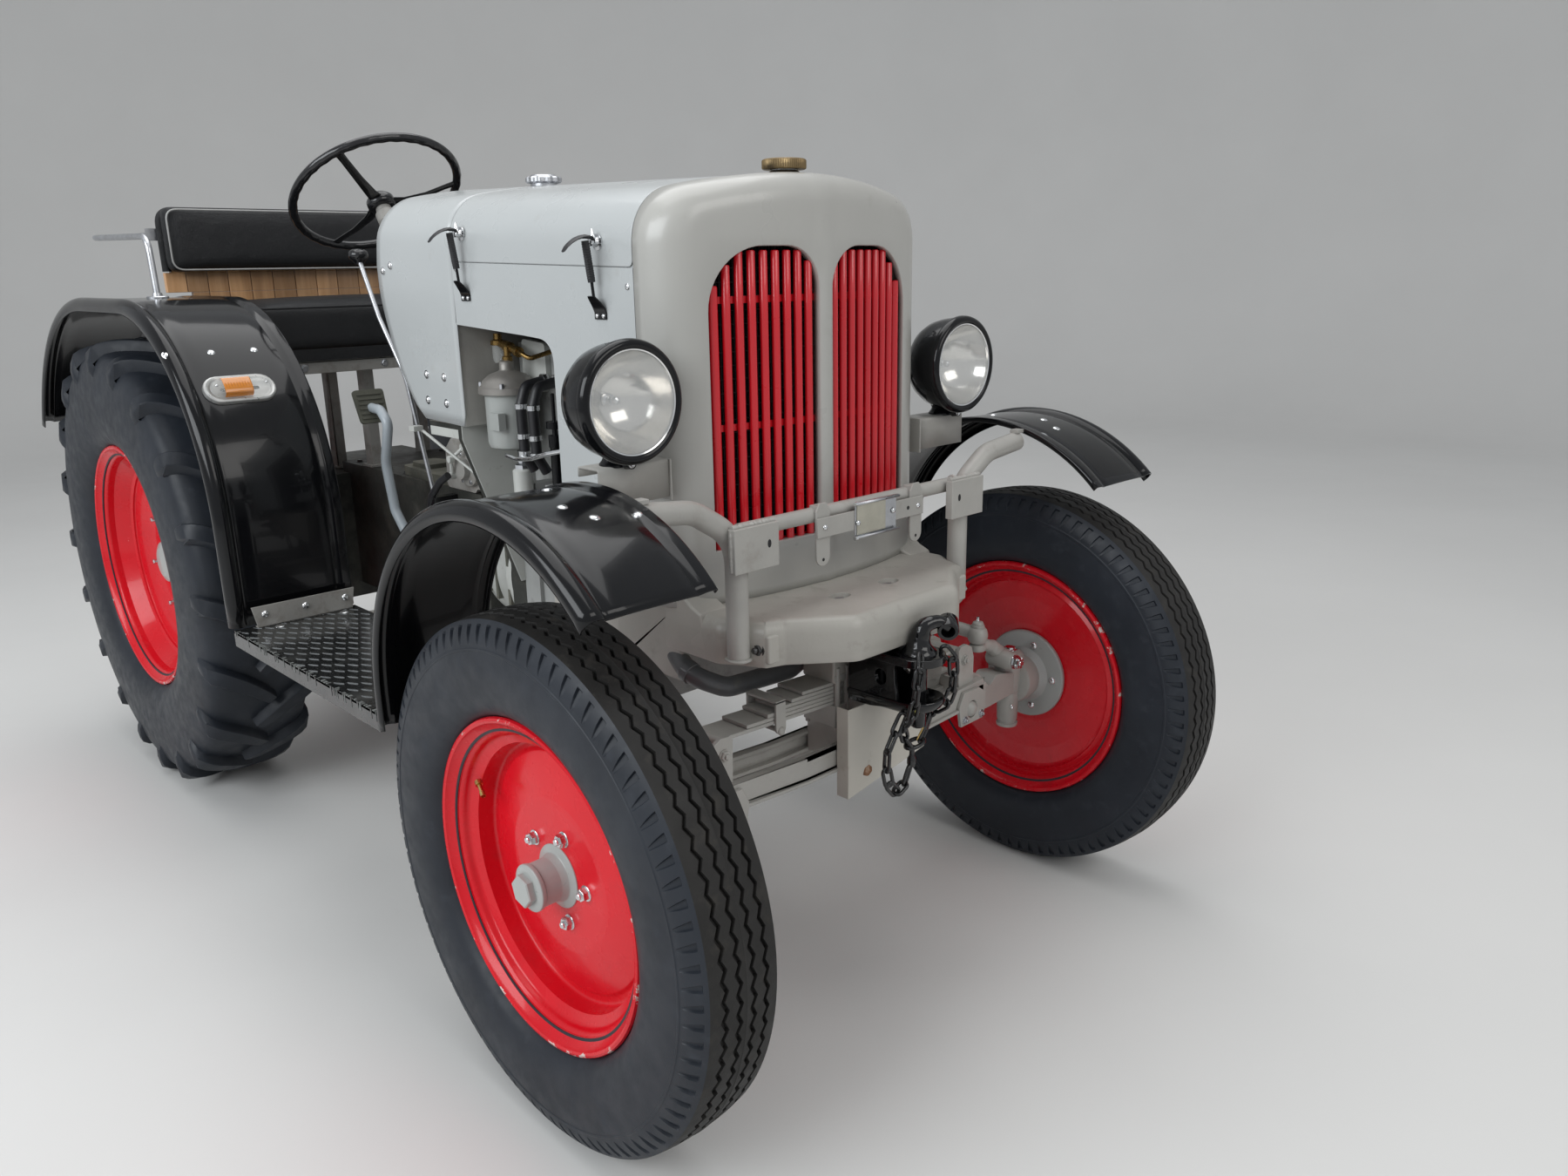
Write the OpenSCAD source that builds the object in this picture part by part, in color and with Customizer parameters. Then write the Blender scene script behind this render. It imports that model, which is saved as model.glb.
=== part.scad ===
// Vintage tractor with an open engine bay, bench seat and sprung front axle.
// Units are millimetres, +Z is up, the tractor faces -Y and its left side is +X.
// Inside the modules y = 0 is the front axle, place() moves that frame to the middle.

/* [Overall] */
// Distance between the two axles
wheelbase = 2000;
// Distance between the middles of the front wheels
front_track = 1321;
// Distance between the middles of the rear wheels
rear_track = 1184;

/* [Wheels] */
// Radius of the front tyre out to the tread
front_r = 445;
// Width of the front tyre
front_w = 165;
// Radius of the front rim flange
front_rim_r = 280;
// Radius of the rear tyre out to the lug tips
rear_r = 617;
// Width of the rear tyre
rear_w = 285;
// Radius of the rear rim flange
rear_rim_r = 335;
// Height of the rear lugs
lug_h = 26;

/* [Bonnet] */
// Half the width of bonnet, shell and cowl
hood_x = 335;
// Height of the top of the grille shell
shell_top = 1552;
// Height of the bottom of the grille shell
shell_low = 802;
// Rise of the bonnet to the rear in degrees
hood_rise = 1.6;
// Length of the bonnet between shell and cowl
hood_len = 612;
// Sheet thickness of panels
sheet = 2.5;

/* [Steering] */
// Distance of each kingpin from the middle
kingpin_x = 585;
// Radius of the steering wheel
steer_r = 215;
// Lean of the steering column from upright in degrees
steer_lean = 35.6;

/* [Fenders] */
// Outer edge of the front fenders
ff_out = 745;
// Inner edge of the front fenders
ff_in = 515;
// Outer edge of the rear fenders
rf_out = 738;
// Inner edge of the rear fenders
rf_in = 455;

/* [Show] */
// Piece to build

/* [Hidden] */

$fn = 48;
grey = "#a9aaa6";
dark_grey = "#8d8f8c";
black = "#17181a";
red = "#c8102a";
zinc = "#b9bcc0";
brass = "#9a7b45";
wood = "#c68a4c";
amber = "#d98313";
rubber = "#24272c";

rf_r = 740;
rf_end = 30;
rear_reach = rf_r * cos(rf_end);
shift = -(wheelbase + rear_reach - front_r) / 2;
rear_z = rear_r;
front_z = front_r;
front_x = front_track / 2;
rear_x = rear_track / 2;

module place() {
    translate([0, shift, 0]) children();
}

module both() {
    children();
    mirror([1, 0, 0]) children();
}

module box(x, y, z) {
    translate([x[0], y[0], z[0]]) cube([x[1] - x[0], y[1] - y[0], z[1] - z[0]]);
}

// A round bar from p to q
module bar(p, q, r, n = 24) {
    d = q - p;
    l = norm(d);
    translate(p) rotate([0, acos(d[2] / l), atan2(d[1], d[0])]) cylinder(h = l, r = r, $fn = n);
}

// A bent round bar through a list of points
module bent(pts, r, n = 24) {
    for (i = [0 : len(pts) - 2]) bar(pts[i], pts[i + 1], r, n);
    for (i = [1 : len(pts) - 2]) translate(pts[i]) sphere(r = r * 1.02, $fn = n);
}

// A pin along X, Y or Z around a point
module pin_x(c, l, r, n = 24) {
    translate([c[0] - l / 2, c[1], c[2]]) rotate([0, 90, 0]) cylinder(h = l, r = r, $fn = n);
}

module pin_y(c, l, r, n = 24) {
    translate([c[0], c[1] + l / 2, c[2]]) rotate([90, 0, 0]) cylinder(h = l, r = r, $fn = n);
}

module pin_z(c, l, r, n = 24) {
    translate([c[0], c[1], c[2] - l / 2]) cylinder(h = l, r = r, $fn = n);
}

// A side view drawn in (y, z) and given a thickness along X
module side_cut(x0, x1) {
    translate([x0, 0, 0]) rotate([90, 0, 90]) linear_extrude(x1 - x0) children();
}

// A front view drawn in (x, z) and given a depth along Y
module front_cut(y0, y1) {
    translate([0, y1, 0]) rotate([90, 0, 0]) linear_extrude(y1 - y0) children();
}

module rounded(x0, x1, y0, y1, r) {
    translate([x0 + r, y0]) square([x1 - x0 - 2 * r, y1 - y0]);
    translate([x0, y0 + r]) square([x1 - x0, y1 - y0 - 2 * r]);
    for (x = [x0 + r, x1 - r]) for (y = [y0 + r, y1 - r]) translate([x, y]) circle(r = r, $fn = 32);
}

function arc(c, r, a0, a1, n) = [for (i = [0 : n])
    let (a = a0 + (a1 - a0) * i / n) [c[0] + r * cos(a), c[1] + r * sin(a)]];

function turned(l) = [for (i = [len(l) - 1 : -1 : 0]) l[i]];

// Wheels and tyres, drawn around X with the outer face to +X

module turn_x() {
    rotate([0, 90, 0]) rotate_extrude($fn = 64) children();
}

module tyre_form(r, w, bead_r, bead_w, lip_r, crown, wall) {
    h = r - bead_r;
    outer = [[bead_r, bead_w], [lip_r + 0.6, bead_w + 6], [bead_r + 0.26 * h, 0.46 * w],
        [bead_r + 0.42 * h, 0.497 * w], [bead_r + 0.58 * h, 0.5 * w],
        [bead_r + 0.76 * h, 0.478 * w], [bead_r + 0.9 * h, crown + 6], [r - 5, crown - 5], [r, crown - 22]];
    inner = [[bead_r, bead_w - wall], [bead_r + 0.26 * h, 0.46 * w - wall],
        [bead_r + 0.55 * h, 0.5 * w - wall], [bead_r + 0.78 * h, crown - wall * 1.4],
        [r - wall * 1.6, crown - wall * 2.4]];
    turn_x() polygon(concat(outer, [for (p = turned(outer)) [p[0], -p[1]]],
        [for (p = inner) [p[0], -p[1]]], turned(inner)));
}

module rim_form(flange_r, half_w, seat_r, well_r) {
    turn_x() polygon([
        [flange_r, half_w - 8], [flange_r, half_w], [flange_r - 10, half_w], [seat_r - 3, half_w - 12],
        [seat_r - 6, half_w - 34], [well_r - 4, half_w * 0.3 + 4], [well_r - 4, -half_w * 0.3 - 4],
        [seat_r - 6, -half_w + 34], [seat_r - 3, -half_w + 12], [flange_r - 10, -half_w],
        [flange_r, -half_w], [flange_r, -half_w + 8], [seat_r + 2, -half_w + 14],
        [seat_r, -half_w + 32], [well_r, -half_w * 0.3], [well_r, half_w * 0.3],
        [seat_r, half_w - 32], [seat_r + 2, half_w - 14]]);
}

module front_wheel() {
    rim_form(front_rim_r, 60, 252, 232);
    // dished disc
    turn_x() polygon([[30, -2], [120, -2], [185, -10], [229, -20], [231, -14], [186, -3], [121, 5], [30, 5]]);
    // hub flange inside and hub barrel outside
    turn_x() polygon([[20.3, -36], [44, -36], [56, -26], [62, -18], [106, -14], [106, -1], [30, -1], [20.3, -16]]);
    turn_x() polygon([[2, 0], [54, 0], [54, 3], [40, 16], [37, 24], [37, 52], [39, 53], [39, 62],
        [34, 65], [2, 65]]);
    rotate([0, 90, 0]) translate([0, 0, 56]) cylinder(h = 22, r = 27, $fn = 6);
    for (a = [0 : 4]) rotate([a * 72 + 18, 0, 0]) translate([0, 0, 78]) {
        translate([4, 0, 0]) rotate([0, 90, 0]) cylinder(h = 14, r = 11, $fn = 6);
        translate([-22, 0, 0]) rotate([0, 90, 0]) cylinder(h = 9, r = 10, $fn = 6);
    }
}

module rear_wheel() {
    rim_form(rear_rim_r, 117, 306, 270);
    turn_x() polygon([[60, -2], [150, -2], [215, 14], [267, 24], [269, 32], [216, 22], [151, 6], [60, 6]]);
    turn_x() polygon([[32.3, -30], [92, -30], [92, 2], [32.3, 2]]);
    turn_x() polygon([[2, 2], [62, 2], [54, 34], [44, 48], [2, 50]]);
    for (a = [0 : 5]) rotate([a * 60, 0, 0]) translate([0, 0, 76])
        translate([5, 0, 0]) rotate([0, 90, 0]) cylinder(h = 18, r = 14, $fn = 6);
}

module front_tyre() {
    tyre_form(front_r, front_w, 254.3, 45.6, front_rim_r, 66, 13);
}

// Slanted lugs, 20 on each half of the tread, the halves set off by half a pitch
lugs = 20;

module lug_row() intersection() {
    for (k = [1 : lugs]) rotate([k * 360 / lugs, 0, 0]) translate([0, 0, rear_r - 130]) linear_extrude(150)
        polygon([[-22, 4], [-5, -15], [72, 48], [150, 85], [150, 127], [52, 78]]);
    // band that cuts the lugs to the height of the tread and rounds them over the shoulder
    turn_x() polygon([[rear_r - 37, -30], [rear_r, -30], [rear_r, 62], [rear_r - 4, 88], [rear_r - 9, 110],
        [rear_r - 18, 127], [rear_r - 34, 138], [rear_r - 58, rear_w / 2 - 0.3], [rear_r - 82, rear_w / 2 - 0.6],
        [rear_r - 117, rear_w / 2 - 2], [rear_r - 117, rear_w / 2 - 6], [rear_r - 87, rear_w / 2 - 13],
        [rear_r - 57, rear_w / 2 - 25], [rear_r - 39, rear_w / 2 - 53]]);
}

module rear_tyre() {
    tyre_form(rear_r - lug_h, rear_w, 308.3, 102.6, rear_rim_r, 122, 18);
    lug_row();
    mirror([1, 0, 0]) rotate([180 / lugs, 0, 0]) lug_row();
}

module wheel_front_left() color(red) place() translate([front_x, 0, front_z]) front_wheel();
module wheel_front_right() color(red) place() translate([-front_x, 0, front_z]) mirror([1, 0, 0]) front_wheel();
module wheel_rear_left() color(red) place() translate([rear_x, wheelbase, rear_z]) rear_wheel();
module wheel_rear_right() color(red) place() translate([-rear_x, wheelbase, rear_z]) mirror([1, 0, 0]) rear_wheel();
module tyre_front_left() color(rubber) place() translate([front_x, 0, front_z]) front_tyre();
module tyre_front_right() color(rubber) place() translate([-front_x, 0, front_z]) front_tyre();
module tyre_rear_left() color(rubber) place() translate([rear_x, wheelbase, rear_z]) rear_tyre();
module tyre_rear_right() color(rubber) place() translate([-rear_x, wheelbase, rear_z]) rear_tyre();

// Steered front end

arm_z = 566;
rod_y = 140;
rod_z = 392;
ball_x = 455;
ball_r = 23;
ball_z = arm_z + ball_r + 0.3;

module knuckle() {
    // housing around the kingpin, lower cap and the pin through the axle's eye
    pin_z([kingpin_x, 0, 435], 110, 33);
    pin_z([kingpin_x, 0, 362], 40, 26);
    pin_z([kingpin_x, 0, 340], 12, 30);
    pin_z([kingpin_x, 0, 520], 70, 16);
    pin_z([kingpin_x, 0, 559], 14, 26);
    pin_z([kingpin_x, 0, 570], 10, 15);
    // stub axle
    pin_x([(kingpin_x + front_x + 4) / 2, 0, front_z], front_x - kingpin_x - 4, 20);
    pin_x([kingpin_x + 18, 0, front_z], 20, 44);
    // rear arm with the track rod's eye
    bar([kingpin_x, 10, 422], [kingpin_x, rod_y - 14, rod_z + 26], 12);
    pin_z([kingpin_x, rod_y, rod_z + 21.3], 20, 20);
}

module knuckle_right() color(grey) place() mirror([1, 0, 0]) knuckle();

module knuckle_left() color(grey) place() {
    knuckle();
    // inward arm with the drag link's ball
    translate([ball_x, -14, arm_z - 14]) cube([kingpin_x - ball_x - 10, 28, 14]);
    pin_z([ball_x, 0, arm_z - 7], 14, 22);
}

module track_rod() color(grey) place() {
    pin_x([0, rod_y, rod_z], kingpin_x * 2, 11);
    both() pin_z([kingpin_x, rod_y, rod_z], 22, 20);
}

drop_x = 225;
drop_y = 1000;
drop_z = 905;
drop_l = 200;

module drag_link() color(grey) place() {
    translate([ball_x, 0, ball_z]) sphere(r = ball_r, $fn = 24);
    pin_z([ball_x, 0, ball_z + 26], 20, 12);
    pin_z([ball_x, 0, ball_z + 40], 14, 5);
    bar([ball_x, 0, ball_z], [drop_x + 20.3, drop_y - 8, drop_z - drop_l], 11);
    pin_x([drop_x + 20.3, drop_y, drop_z - drop_l], 24, 18);
}

module drop_arm() color(grey) place() {
    pin_x([drop_x, drop_y, drop_z], 22, 26);
    pin_x([drop_x, drop_y, drop_z - drop_l], 16, 18);
    translate([drop_x - 7, drop_y - 12, drop_z - drop_l]) cube([14, 24, drop_l]);
}

// Lower beams and their outer arms, which hold the kingpins' eyes
beam_kink = 150;
beam_end = 427;
beam_rise = (beam_end - beam_kink) * tan(3);
// Links between the beams and the ends of the main leaf
link_x = 338;

module front_axle() color(grey) place() {
    for (y = [-58, 38]) front_cut(y, y + 20) polygon([
        [-beam_end, 455 + beam_rise], [-beam_kink, 455], [beam_kink, 455], [beam_end, 455 + beam_rise],
        [beam_end, 499 + beam_rise], [beam_kink, 499], [-beam_kink, 499], [-beam_end, 499 + beam_rise]]);
    box([-50, 50], [-41, 41], [457, 527.7]);
    both() {
        box([388, 423], [-41, 41], [462, 506]);
        box([link_x - 9, link_x + 9], [-41, 41], [464, 502]);
        box([link_x - 9, link_x + 9], [-30, 30], [500, 536]);
        pin_y([link_x, 0, 536], 72, 11);
        side_cut(412, 426) polygon([[-34, 385], [-60, 430], [-60, 512], [60, 512], [60, 430], [34, 385]]);
        difference() {
            union() {
                front_cut(-18, 18) polygon([[424, 425], [424, 488], [480, 508], [560, 544], [598, 544],
                    [598, 498], [546, 498], [500, 455], [450, 425]]);
                pin_z([kingpin_x, 0, 521.5], 51, 32);
            }
            pin_z([kingpin_x, 0, 520], 80, 16.3);
        }
    }
}

// Transverse leaves on top of the long main leaf, with a clamp, clips and end links
leaf_t = 7.8;
leaf_z = 574;
leaf_half = [344, 279, 228, 196, 166, 137];

module leaf_spring() color(dark_grey) place() {
    for (i = [0 : 5]) {
        l = leaf_half[i];
        z = leaf_z + i * leaf_t;
        lift = (l - 60) * tan(2.6);
        front_cut(-35, 35) polygon([[-l, z + lift], [-60, z], [60, z], [l, z + lift],
            [l, z + lift + leaf_t + 0.05], [60, z + leaf_t + 0.05], [-60, z + leaf_t + 0.05],
            [-l, z + lift + leaf_t + 0.05]]);
    }
    box([-60, 60], [-42, 42], [528, leaf_z + 6 * leaf_t + 0.5]);
    both() {
        pin_y([link_x + 6, 0, leaf_z + 14], 88, 11);
        for (y = [-44, 36.3]) front_cut(y, y + 7.7) polygon([[link_x - 9, 524], [link_x + 9, 524],
            [link_x + 16, leaf_z + 22], [link_x - 3, leaf_z + 22]]);
        for (y = [-41, 34.9]) box([187, 212], [y, y + 6.1], [560, 625]);
        box([187, 212], [-41, 41], [620, 625]);
        pin_y([199.5, 0, 567], 88, 5);
    }
}

module guard_plate() color(grey) place() {
    box([-72, 34], [-92, -84], [400, 584]);
    box([30, 156], [-92, -84], [428, 584]);
    box([-72, -62], [-92, -62.5], [400, 584]);
    box([-20, 20], [-86, -42.3], [552, 580]);
}

// Rounded casting that carries the shell, the spring and the bumper
cast_z0 = 720;
cast_z1 = shell_low - 0.3;
cast_half = [[142, -182], [206, -130], [243, -100], [279, -88], [300, -40], [321, -10], [322, 135],
    [285, 150], [285, 330]];

module front_casting() color(grey) place() {
    difference() {
        union() {
            translate([0, 0, cast_z0]) linear_extrude(cast_z1 - cast_z0 - 8)
                polygon(concat(cast_half, [for (p = turned(cast_half)) [-p[0], p[1]]]));
            // upper edge set in all round
            translate([0, 0, cast_z1 - 9]) linear_extrude(9)
                polygon(concat([for (p = cast_half) [p[0] - 7, min(p[1] + 7, 330)]],
                    [for (p = turned(cast_half)) [7 - p[0], min(p[1] + 7, 330)]]));
            both() front_cut(20, 134) polygon([[271, 780], [271, 815], [321.5, 831], [321.5, 780]]);
        }
        box([-250, 250], [-20, 300], [600, 776]);
        for (x = [-65, 72]) translate([0, 0, cast_z1 - 15]) linear_extrude(30) {
            for (s = [-1, 1]) translate([x + s * 7, -63]) circle(r = 17, $fn = 32);
            translate([x - 7, -80]) square([14, 34]);
        }
        // seats of the bumper's tubes
        both() pin_z([bar_x, bar_y, 760], 100, 20.3, 32);
    }
    // web down to the spring seat
    box([-60, 60], [-42, 42], [leaf_z + 6 * leaf_t + 0.8, 780]);
    // arms back to the engine
    both() box([245, 285], [300, 560], [640, 780]);
    both() box([262, 285], [135, 330], [640, 795]);
    box([-285, 285], [300, 330], [640, 780]);
}

// Grille shell

module shell_plan(o) {
    intersection() {
        rounded(-hood_x + o, hood_x - o, 28 + o, 400, 92 - o);
        translate([0, 1028 + o]) circle(r = 1000, $fn = 240);
        translate([-hood_x, 0]) square([2 * hood_x, 160]);
    }
}

corner = 100;
crown = 1300;

function hood_half(o) = let (cx = hood_x - corner,
        cz = shell_top - crown + sqrt(pow(crown - corner, 2) - pow(cx, 2)),
        turn = atan2(cz - shell_top + crown, cx))
    concat([[hood_x - o, 500]], arc([cx, cz], corner - o, 0, turn, 14),
        arc([0, shell_top - crown], crown - o, turn + 1.6, 88, 6));

module hood_section(o) {
    half = hood_half(o);
    polygon(concat(half, [for (p = turned(half)) [-p[0], p[1]]]));
}

module arch(x0, x1, z0, z1, r0, r1) {
    // r0 is the corner radius at x0, r1 the one at x1
    translate([x0 + r0, z0]) square([x1 - x0 - r0 - r1, z1 - z0]);
    translate([x0, z0]) square([r0 + 1, z1 - r0 - z0]);
    translate([x1 - r1 - 1, z0]) square([r1 + 1, z1 - r1 - z0]);
    translate([x0 + r0, z1 - r0]) circle(r = r0, $fn = 64);
    translate([x1 - r1, z1 - r1]) circle(r = r1, $fn = 64);
}

module grille_shell() color(grey) place() {
    difference() {
        intersection() {
            translate([0, 0, shell_low]) linear_extrude(900) shell_plan(0);
            front_cut(0, 200) hood_section(0);
        }
        intersection() {
            translate([0, 0, shell_low - 10]) linear_extrude(900) shell_plan(4);
            front_cut(-10, 300) hood_section(4);
        }
        box([-hood_x + 4, hood_x - 4], [150, 170], [shell_low - 5, shell_top - 140]);
        both() front_cut(-20, 120) arch(17, 255, 900, 1425, 75, 110);
        pin_z([0, 134, shell_top], 60, 23.3);
        // lower edge rises to the sides
        both() front_cut(-20, 200) polygon([[215, shell_low - 1], [215, shell_low], [hood_x + 5, shell_low + 39.6],
            [hood_x + 5, shell_low - 1]]);
    }
}

module grille_bars() color(red) place() {
    both() for (i = [0 : 8]) {
        x = 34 + i * 25.5;
        y = 46 + x * x / 2000;
        top = i == 0 ? 1400 : i == 8 ? 1355 : i == 7 ? 1392 : 1414;
        pin_z([x, y, (top + 884) / 2], top - 884, 8.5, 16);
        for (z = [890, 1330]) box([x - 13.5, x + 13.5], [y - 2, y + 7], [z, z + 12]);
    }
    for (z = [890, 1330]) {
        box([-26, 26], [32.6, 52], [z, z + 12]);
        both() box([250, 266], [68.8, 82], [z, z + 12]);
    }
}

module radiator() color(black) place() {
    box([-268, 268], [104, 152], [shell_low + 28, shell_top - 112]);
    box([-250, 250], [106, 150], [shell_low, shell_low + 30]);
    box([-240, 240], [106, 150], [shell_top - 114, shell_top - 72]);
    pin_z([0, 132, shell_top - 43], 62, 20);
}

module radiator_cap() color(brass) place() {
    pin_z([0, 134, 1551.3], 22, 23);
    pin_z([0, 134, shell_top + 18], 18, 41);
}

// Bonnet, side panels and cowl

hood_y = 161.5;

module raised() {
    translate([0, hood_y, shell_top]) rotate([hood_rise, 0, 0]) translate([0, -hood_y, -shell_top]) children();
}

module bonnet() color(grey) place() raised() difference() {
    front_cut(hood_y, hood_y + hood_len) hood_section(0);
    front_cut(hood_y - 1, hood_y + hood_len + 1) hood_section(sheet);
    box([-400, 400], [hood_y - 1, hood_y + hood_len + 1], [400, 1393]);
}

module side_panels() color(grey) place() both() {
    side_cut(hood_x - sheet, hood_x) polygon([[hood_y, 842], [hood_y, 1390],
        [hood_y + hood_len, 1390 + hood_len * tan(hood_rise)], [hood_y + hood_len + 4, 1284],
        [525, 1271], [487, 1262], [456, 1240], [434, 1208], [424, 1170], [421, 1120], [421, 842]]);
    // inner strip that carries the bonnet, foot on the casting
    raised() {
        box([hood_x - 12, hood_x - 1], [hood_y + 3, hood_y + hood_len - 3], [1374, 1388]);
        box([hood_x - 12, hood_x - sheet - 0.3], [hood_y + 3, hood_y + hood_len - 3], [1386, 1410]);
    }
    box([hood_x - 75, hood_x - 1], [180, 220], [shell_low, 850]);
}

cowl_y = hood_y + hood_len + 3;

module cowl() color(grey) place() {
    difference() {
        raised() difference() {
            front_cut(cowl_y, 1116) hood_section(0);
            front_cut(cowl_y + sheet, 1116 - sheet) hood_section(sheet);
        }
        side_cut(-400, 400) polygon([[700, 400], [700, 1072], [960, 1076], [1068, 1222], [1116, 1340],
            [1078, 1545], [1078, 1800], [1300, 1800], [1300, 400]]);
        pin_z([0, 925, 1570], 60, 30.3);
    }
    box([-180, 180], [cowl_y + 10, 800], [960.3, 1110]);
}

module fuel_tank() color(dark_grey) place() {
    raised() difference() {
        box([-250, 250], [cowl_y + sheet + 0.3, 1040], [1300, 1480]);
        box([-246, 246], [cowl_y + sheet + 4.3, 1036], [1304, 1476]);
    }
    pin_z([0, 925, 1538], 76, 30);
}

module fuel_cap() color(zinc) place() {
    pin_z([0, 925, 1582.3], 12, 35);
    pin_z([0, 925, 1594], 14, 42);
}

module bonnet_latches() color(black) place() both() {
    for (y = [258, 724]) {
        bar([hood_x + 14, y, 1440], [hood_x + 12, y, 1360], 6.5, 16);
        bar([hood_x + 12, y, 1362], [hood_x + 6, y, 1340], 3, 12);
        bar([hood_x + 16, y - 14, 1443], [hood_x + 16, y + 14, 1443], 7, 16);
        box([hood_x + 0.2, hood_x + 16], [y - 9, y + 9], [1322, 1344]);
    }
}

// Lamps

lamp_x = 436;
lamp_y = 44;
lamp_z = 1183;

module headlights() color(black) place() {
    lamp_studs();
    both()
    translate([lamp_x, lamp_y, lamp_z]) rotate([-90, 0, 0]) rotate_extrude($fn = 48) polygon([
        [0, 118], [36, 116], [62, 104], [84, 80], [97, 52], [101, 24], [101, 4], [97, -3], [84, -3],
        [82, 0], [82, 8], [92, 24], [88, 50], [76, 74], [56, 98], [34, 108], [0, 110]]);
}

module lamp_studs() both() pin_z([lamp_x, lamp_y + 60, 1088], 23, 11);

module headlight_glass() color("#dfe6e6") place() both()
    translate([lamp_x, lamp_y, lamp_z]) rotate([-90, 0, 0]) rotate_extrude($fn = 48) polygon([
        [0, -12], [40, -10], [82, -1], [82, 4], [40, -6], [0, -8]]);

module lamp_brackets() color(grey) place() both() {
    box([hood_x + 0.3, 484], [82, 86], [1010, 1076]);
    box([hood_x + 0.3, 484], [82, 142], [1072, 1076]);
    box([hood_x + 0.3, hood_x + 4], [82, 150], [1004, 1076]);
}

// Bumper and plate holder

bar_x = 306;
bar_y = -48;
bar_r = 20;
cross_z = 961;
cross_r = 14;

module bumper() color(grey) place() {
    both() {
        bent([[bar_x, bar_y, 735], [bar_x, bar_y, 925], [bar_x + 12, bar_y, 962], [bar_x + 42, bar_y, 986],
            [bar_x + 92, bar_y, 1009], [bar_x + 199, bar_y, 1022]], bar_r);
        box([492, 540], [bar_y - 12, bar_y + 8], [1036, 1047.6]);
        difference() {
            box([239, 341], [bar_y - 37, bar_y - 18], [898, 975]);
            pin_y([262, bar_y - 28, 940], 40, 5.5);
        }
    }
    pin_x([0, bar_y, cross_z], 600, cross_r);
}

module plate_holder() color(grey) place() {
    y = bar_y - cross_r - 0.3;
    for (x = [-112, 148]) front_cut(y - 4, y) {
        translate([x, 885.5]) circle(r = 17.5, $fn = 32);
        polygon([[x - 17.5, 885.5], [x + 17.5, 885.5], [x + 17.5, 970], [x + 9, 984], [x - 9, 984], [x - 17.5, 970]]);
    }
    box([-131, 164], [y - 9, y - 3.9], [922, 958]);
    box([-37, 82], [y - 11, y - 8.9], [907, 973]);
    box([-31, 48], [y - 13, y - 10.9], [912, 968]);
}

// Front tow jaw and its chains

jaw_y = -200;

module tow_jaw() color(black) place() {
    // upper and lower flange with round noses around the pin
    for (f = [[690, 49], [590, 46]]) translate([0, 0, f[0]]) linear_extrude(16) {
        translate([0, jaw_y]) circle(r = f[1], $fn = 48);
        translate([-f[1], jaw_y]) square([2 * f[1], -66 - jaw_y]);
    }
    // side walls with a round window, and the foot on the casting
    both() difference() {
        side_cut(35, 45) polygon([[-66, 604], [-66, 692], [-182, 692], [-174, 660], [-174, 640], [-182, 604]]);
        pin_x([40, -144, 656], 40, 14);
    }
    box([-36, 36], [-100, -66], [604, 692]);
    box([-50, 50], [-150, -66], [700, cast_z0 - 0.3]);
    // pin with its bent handle and the handle's open eye
    pin_z([0, jaw_y, 650], 180, 16);
    bar([3, jaw_y - 2, 715], [3, jaw_y - 3, 758], 11);
    translate([3, jaw_y - 3, 757]) sphere(r = 13, $fn = 24);
    bar([3, jaw_y - 3, 757], [34, jaw_y - 22, 757], 11);
    difference() {
        pin_x([50, jaw_y - 26, 752], 44, 18, 32);
        pin_x([62, jaw_y - 26, 752], 50, 12, 32);
    }
}

// An oval chain link between p and q, where it hooks into its neighbours with a little play
wire = 7;
link_half = 11;

function oval(l, r) = concat(arc([l, 0], r, -90, 90, 8), arc([-l, 0], r, 90, 270, 8));

module link(p, q, roll) {
    d = q - p;
    l = norm(d);
    h = l / 2 + wire / 2 - 0.3 - link_half;
    translate((p + q) / 2) rotate([0, acos(d[2] / l), atan2(d[1], d[0])]) rotate([0, 0, roll])
        rotate([0, 90, 0]) translate([0, 0, -wire / 2]) linear_extrude(wire) difference() {
            polygon(oval(h, link_half));
            polygon(oval(h, link_half - wire + 0.3));
        }
}

// Where the links of each strand meet
strands = [
    [[-42, -200, 585.4], [-64, -200, 562], [-82, -198, 532], [-84, -198, 498], [-74, -196, 466], [-52, -194, 442],
        [-30, -194, 455], [-15, -194, 484], [-8, -194, 514]],
    [[40, -200, 585.4], [35, -196, 553], [12, -194, 530]]];

module tow_chain() color(black) place() {
    for (s = strands) for (i = [0 : len(s) - 2]) link(s[i], s[i + 1], i % 2 * 90 + 20);
}

// Fenders and footboards

ff_c = [45, 655];
ff_r = 410;

function ff_line(o) = concat([[ff_c[0] + ff_r - o, 596]], arc(ff_c, ff_r - o, 0, 135, 24));

module strip(line_a, line_b) {
    polygon(concat(line_a, turned(line_b)));
}

module front_fenders() color(black) place() both() {
    side_cut(ff_in, ff_out) strip(ff_line(0), ff_line(3));
    side_cut(ff_out - 4, ff_out) strip(ff_line(0), ff_line(30));
    difference() {
        side_cut(ff_in, ff_in + 3) strip(ff_line(0), ff_line(12));
        // notch for the bumper's strap
        box([ff_in - 1, ff_in + 4], [bar_y - 16, bar_y + 12], [1030, 1048]);
    }
}

rf_c = 600;
rf_front = wheelbase - 825;
board_z = 620;

function rf_line(o) = concat([[rf_front + o, board_z + 2]],
    arc([rf_front + 500, rf_c + rf_r - 500], 500 - o, 180, 90, 18), arc([wheelbase, rf_c], rf_r - o, 90, rf_end, 14));

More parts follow.
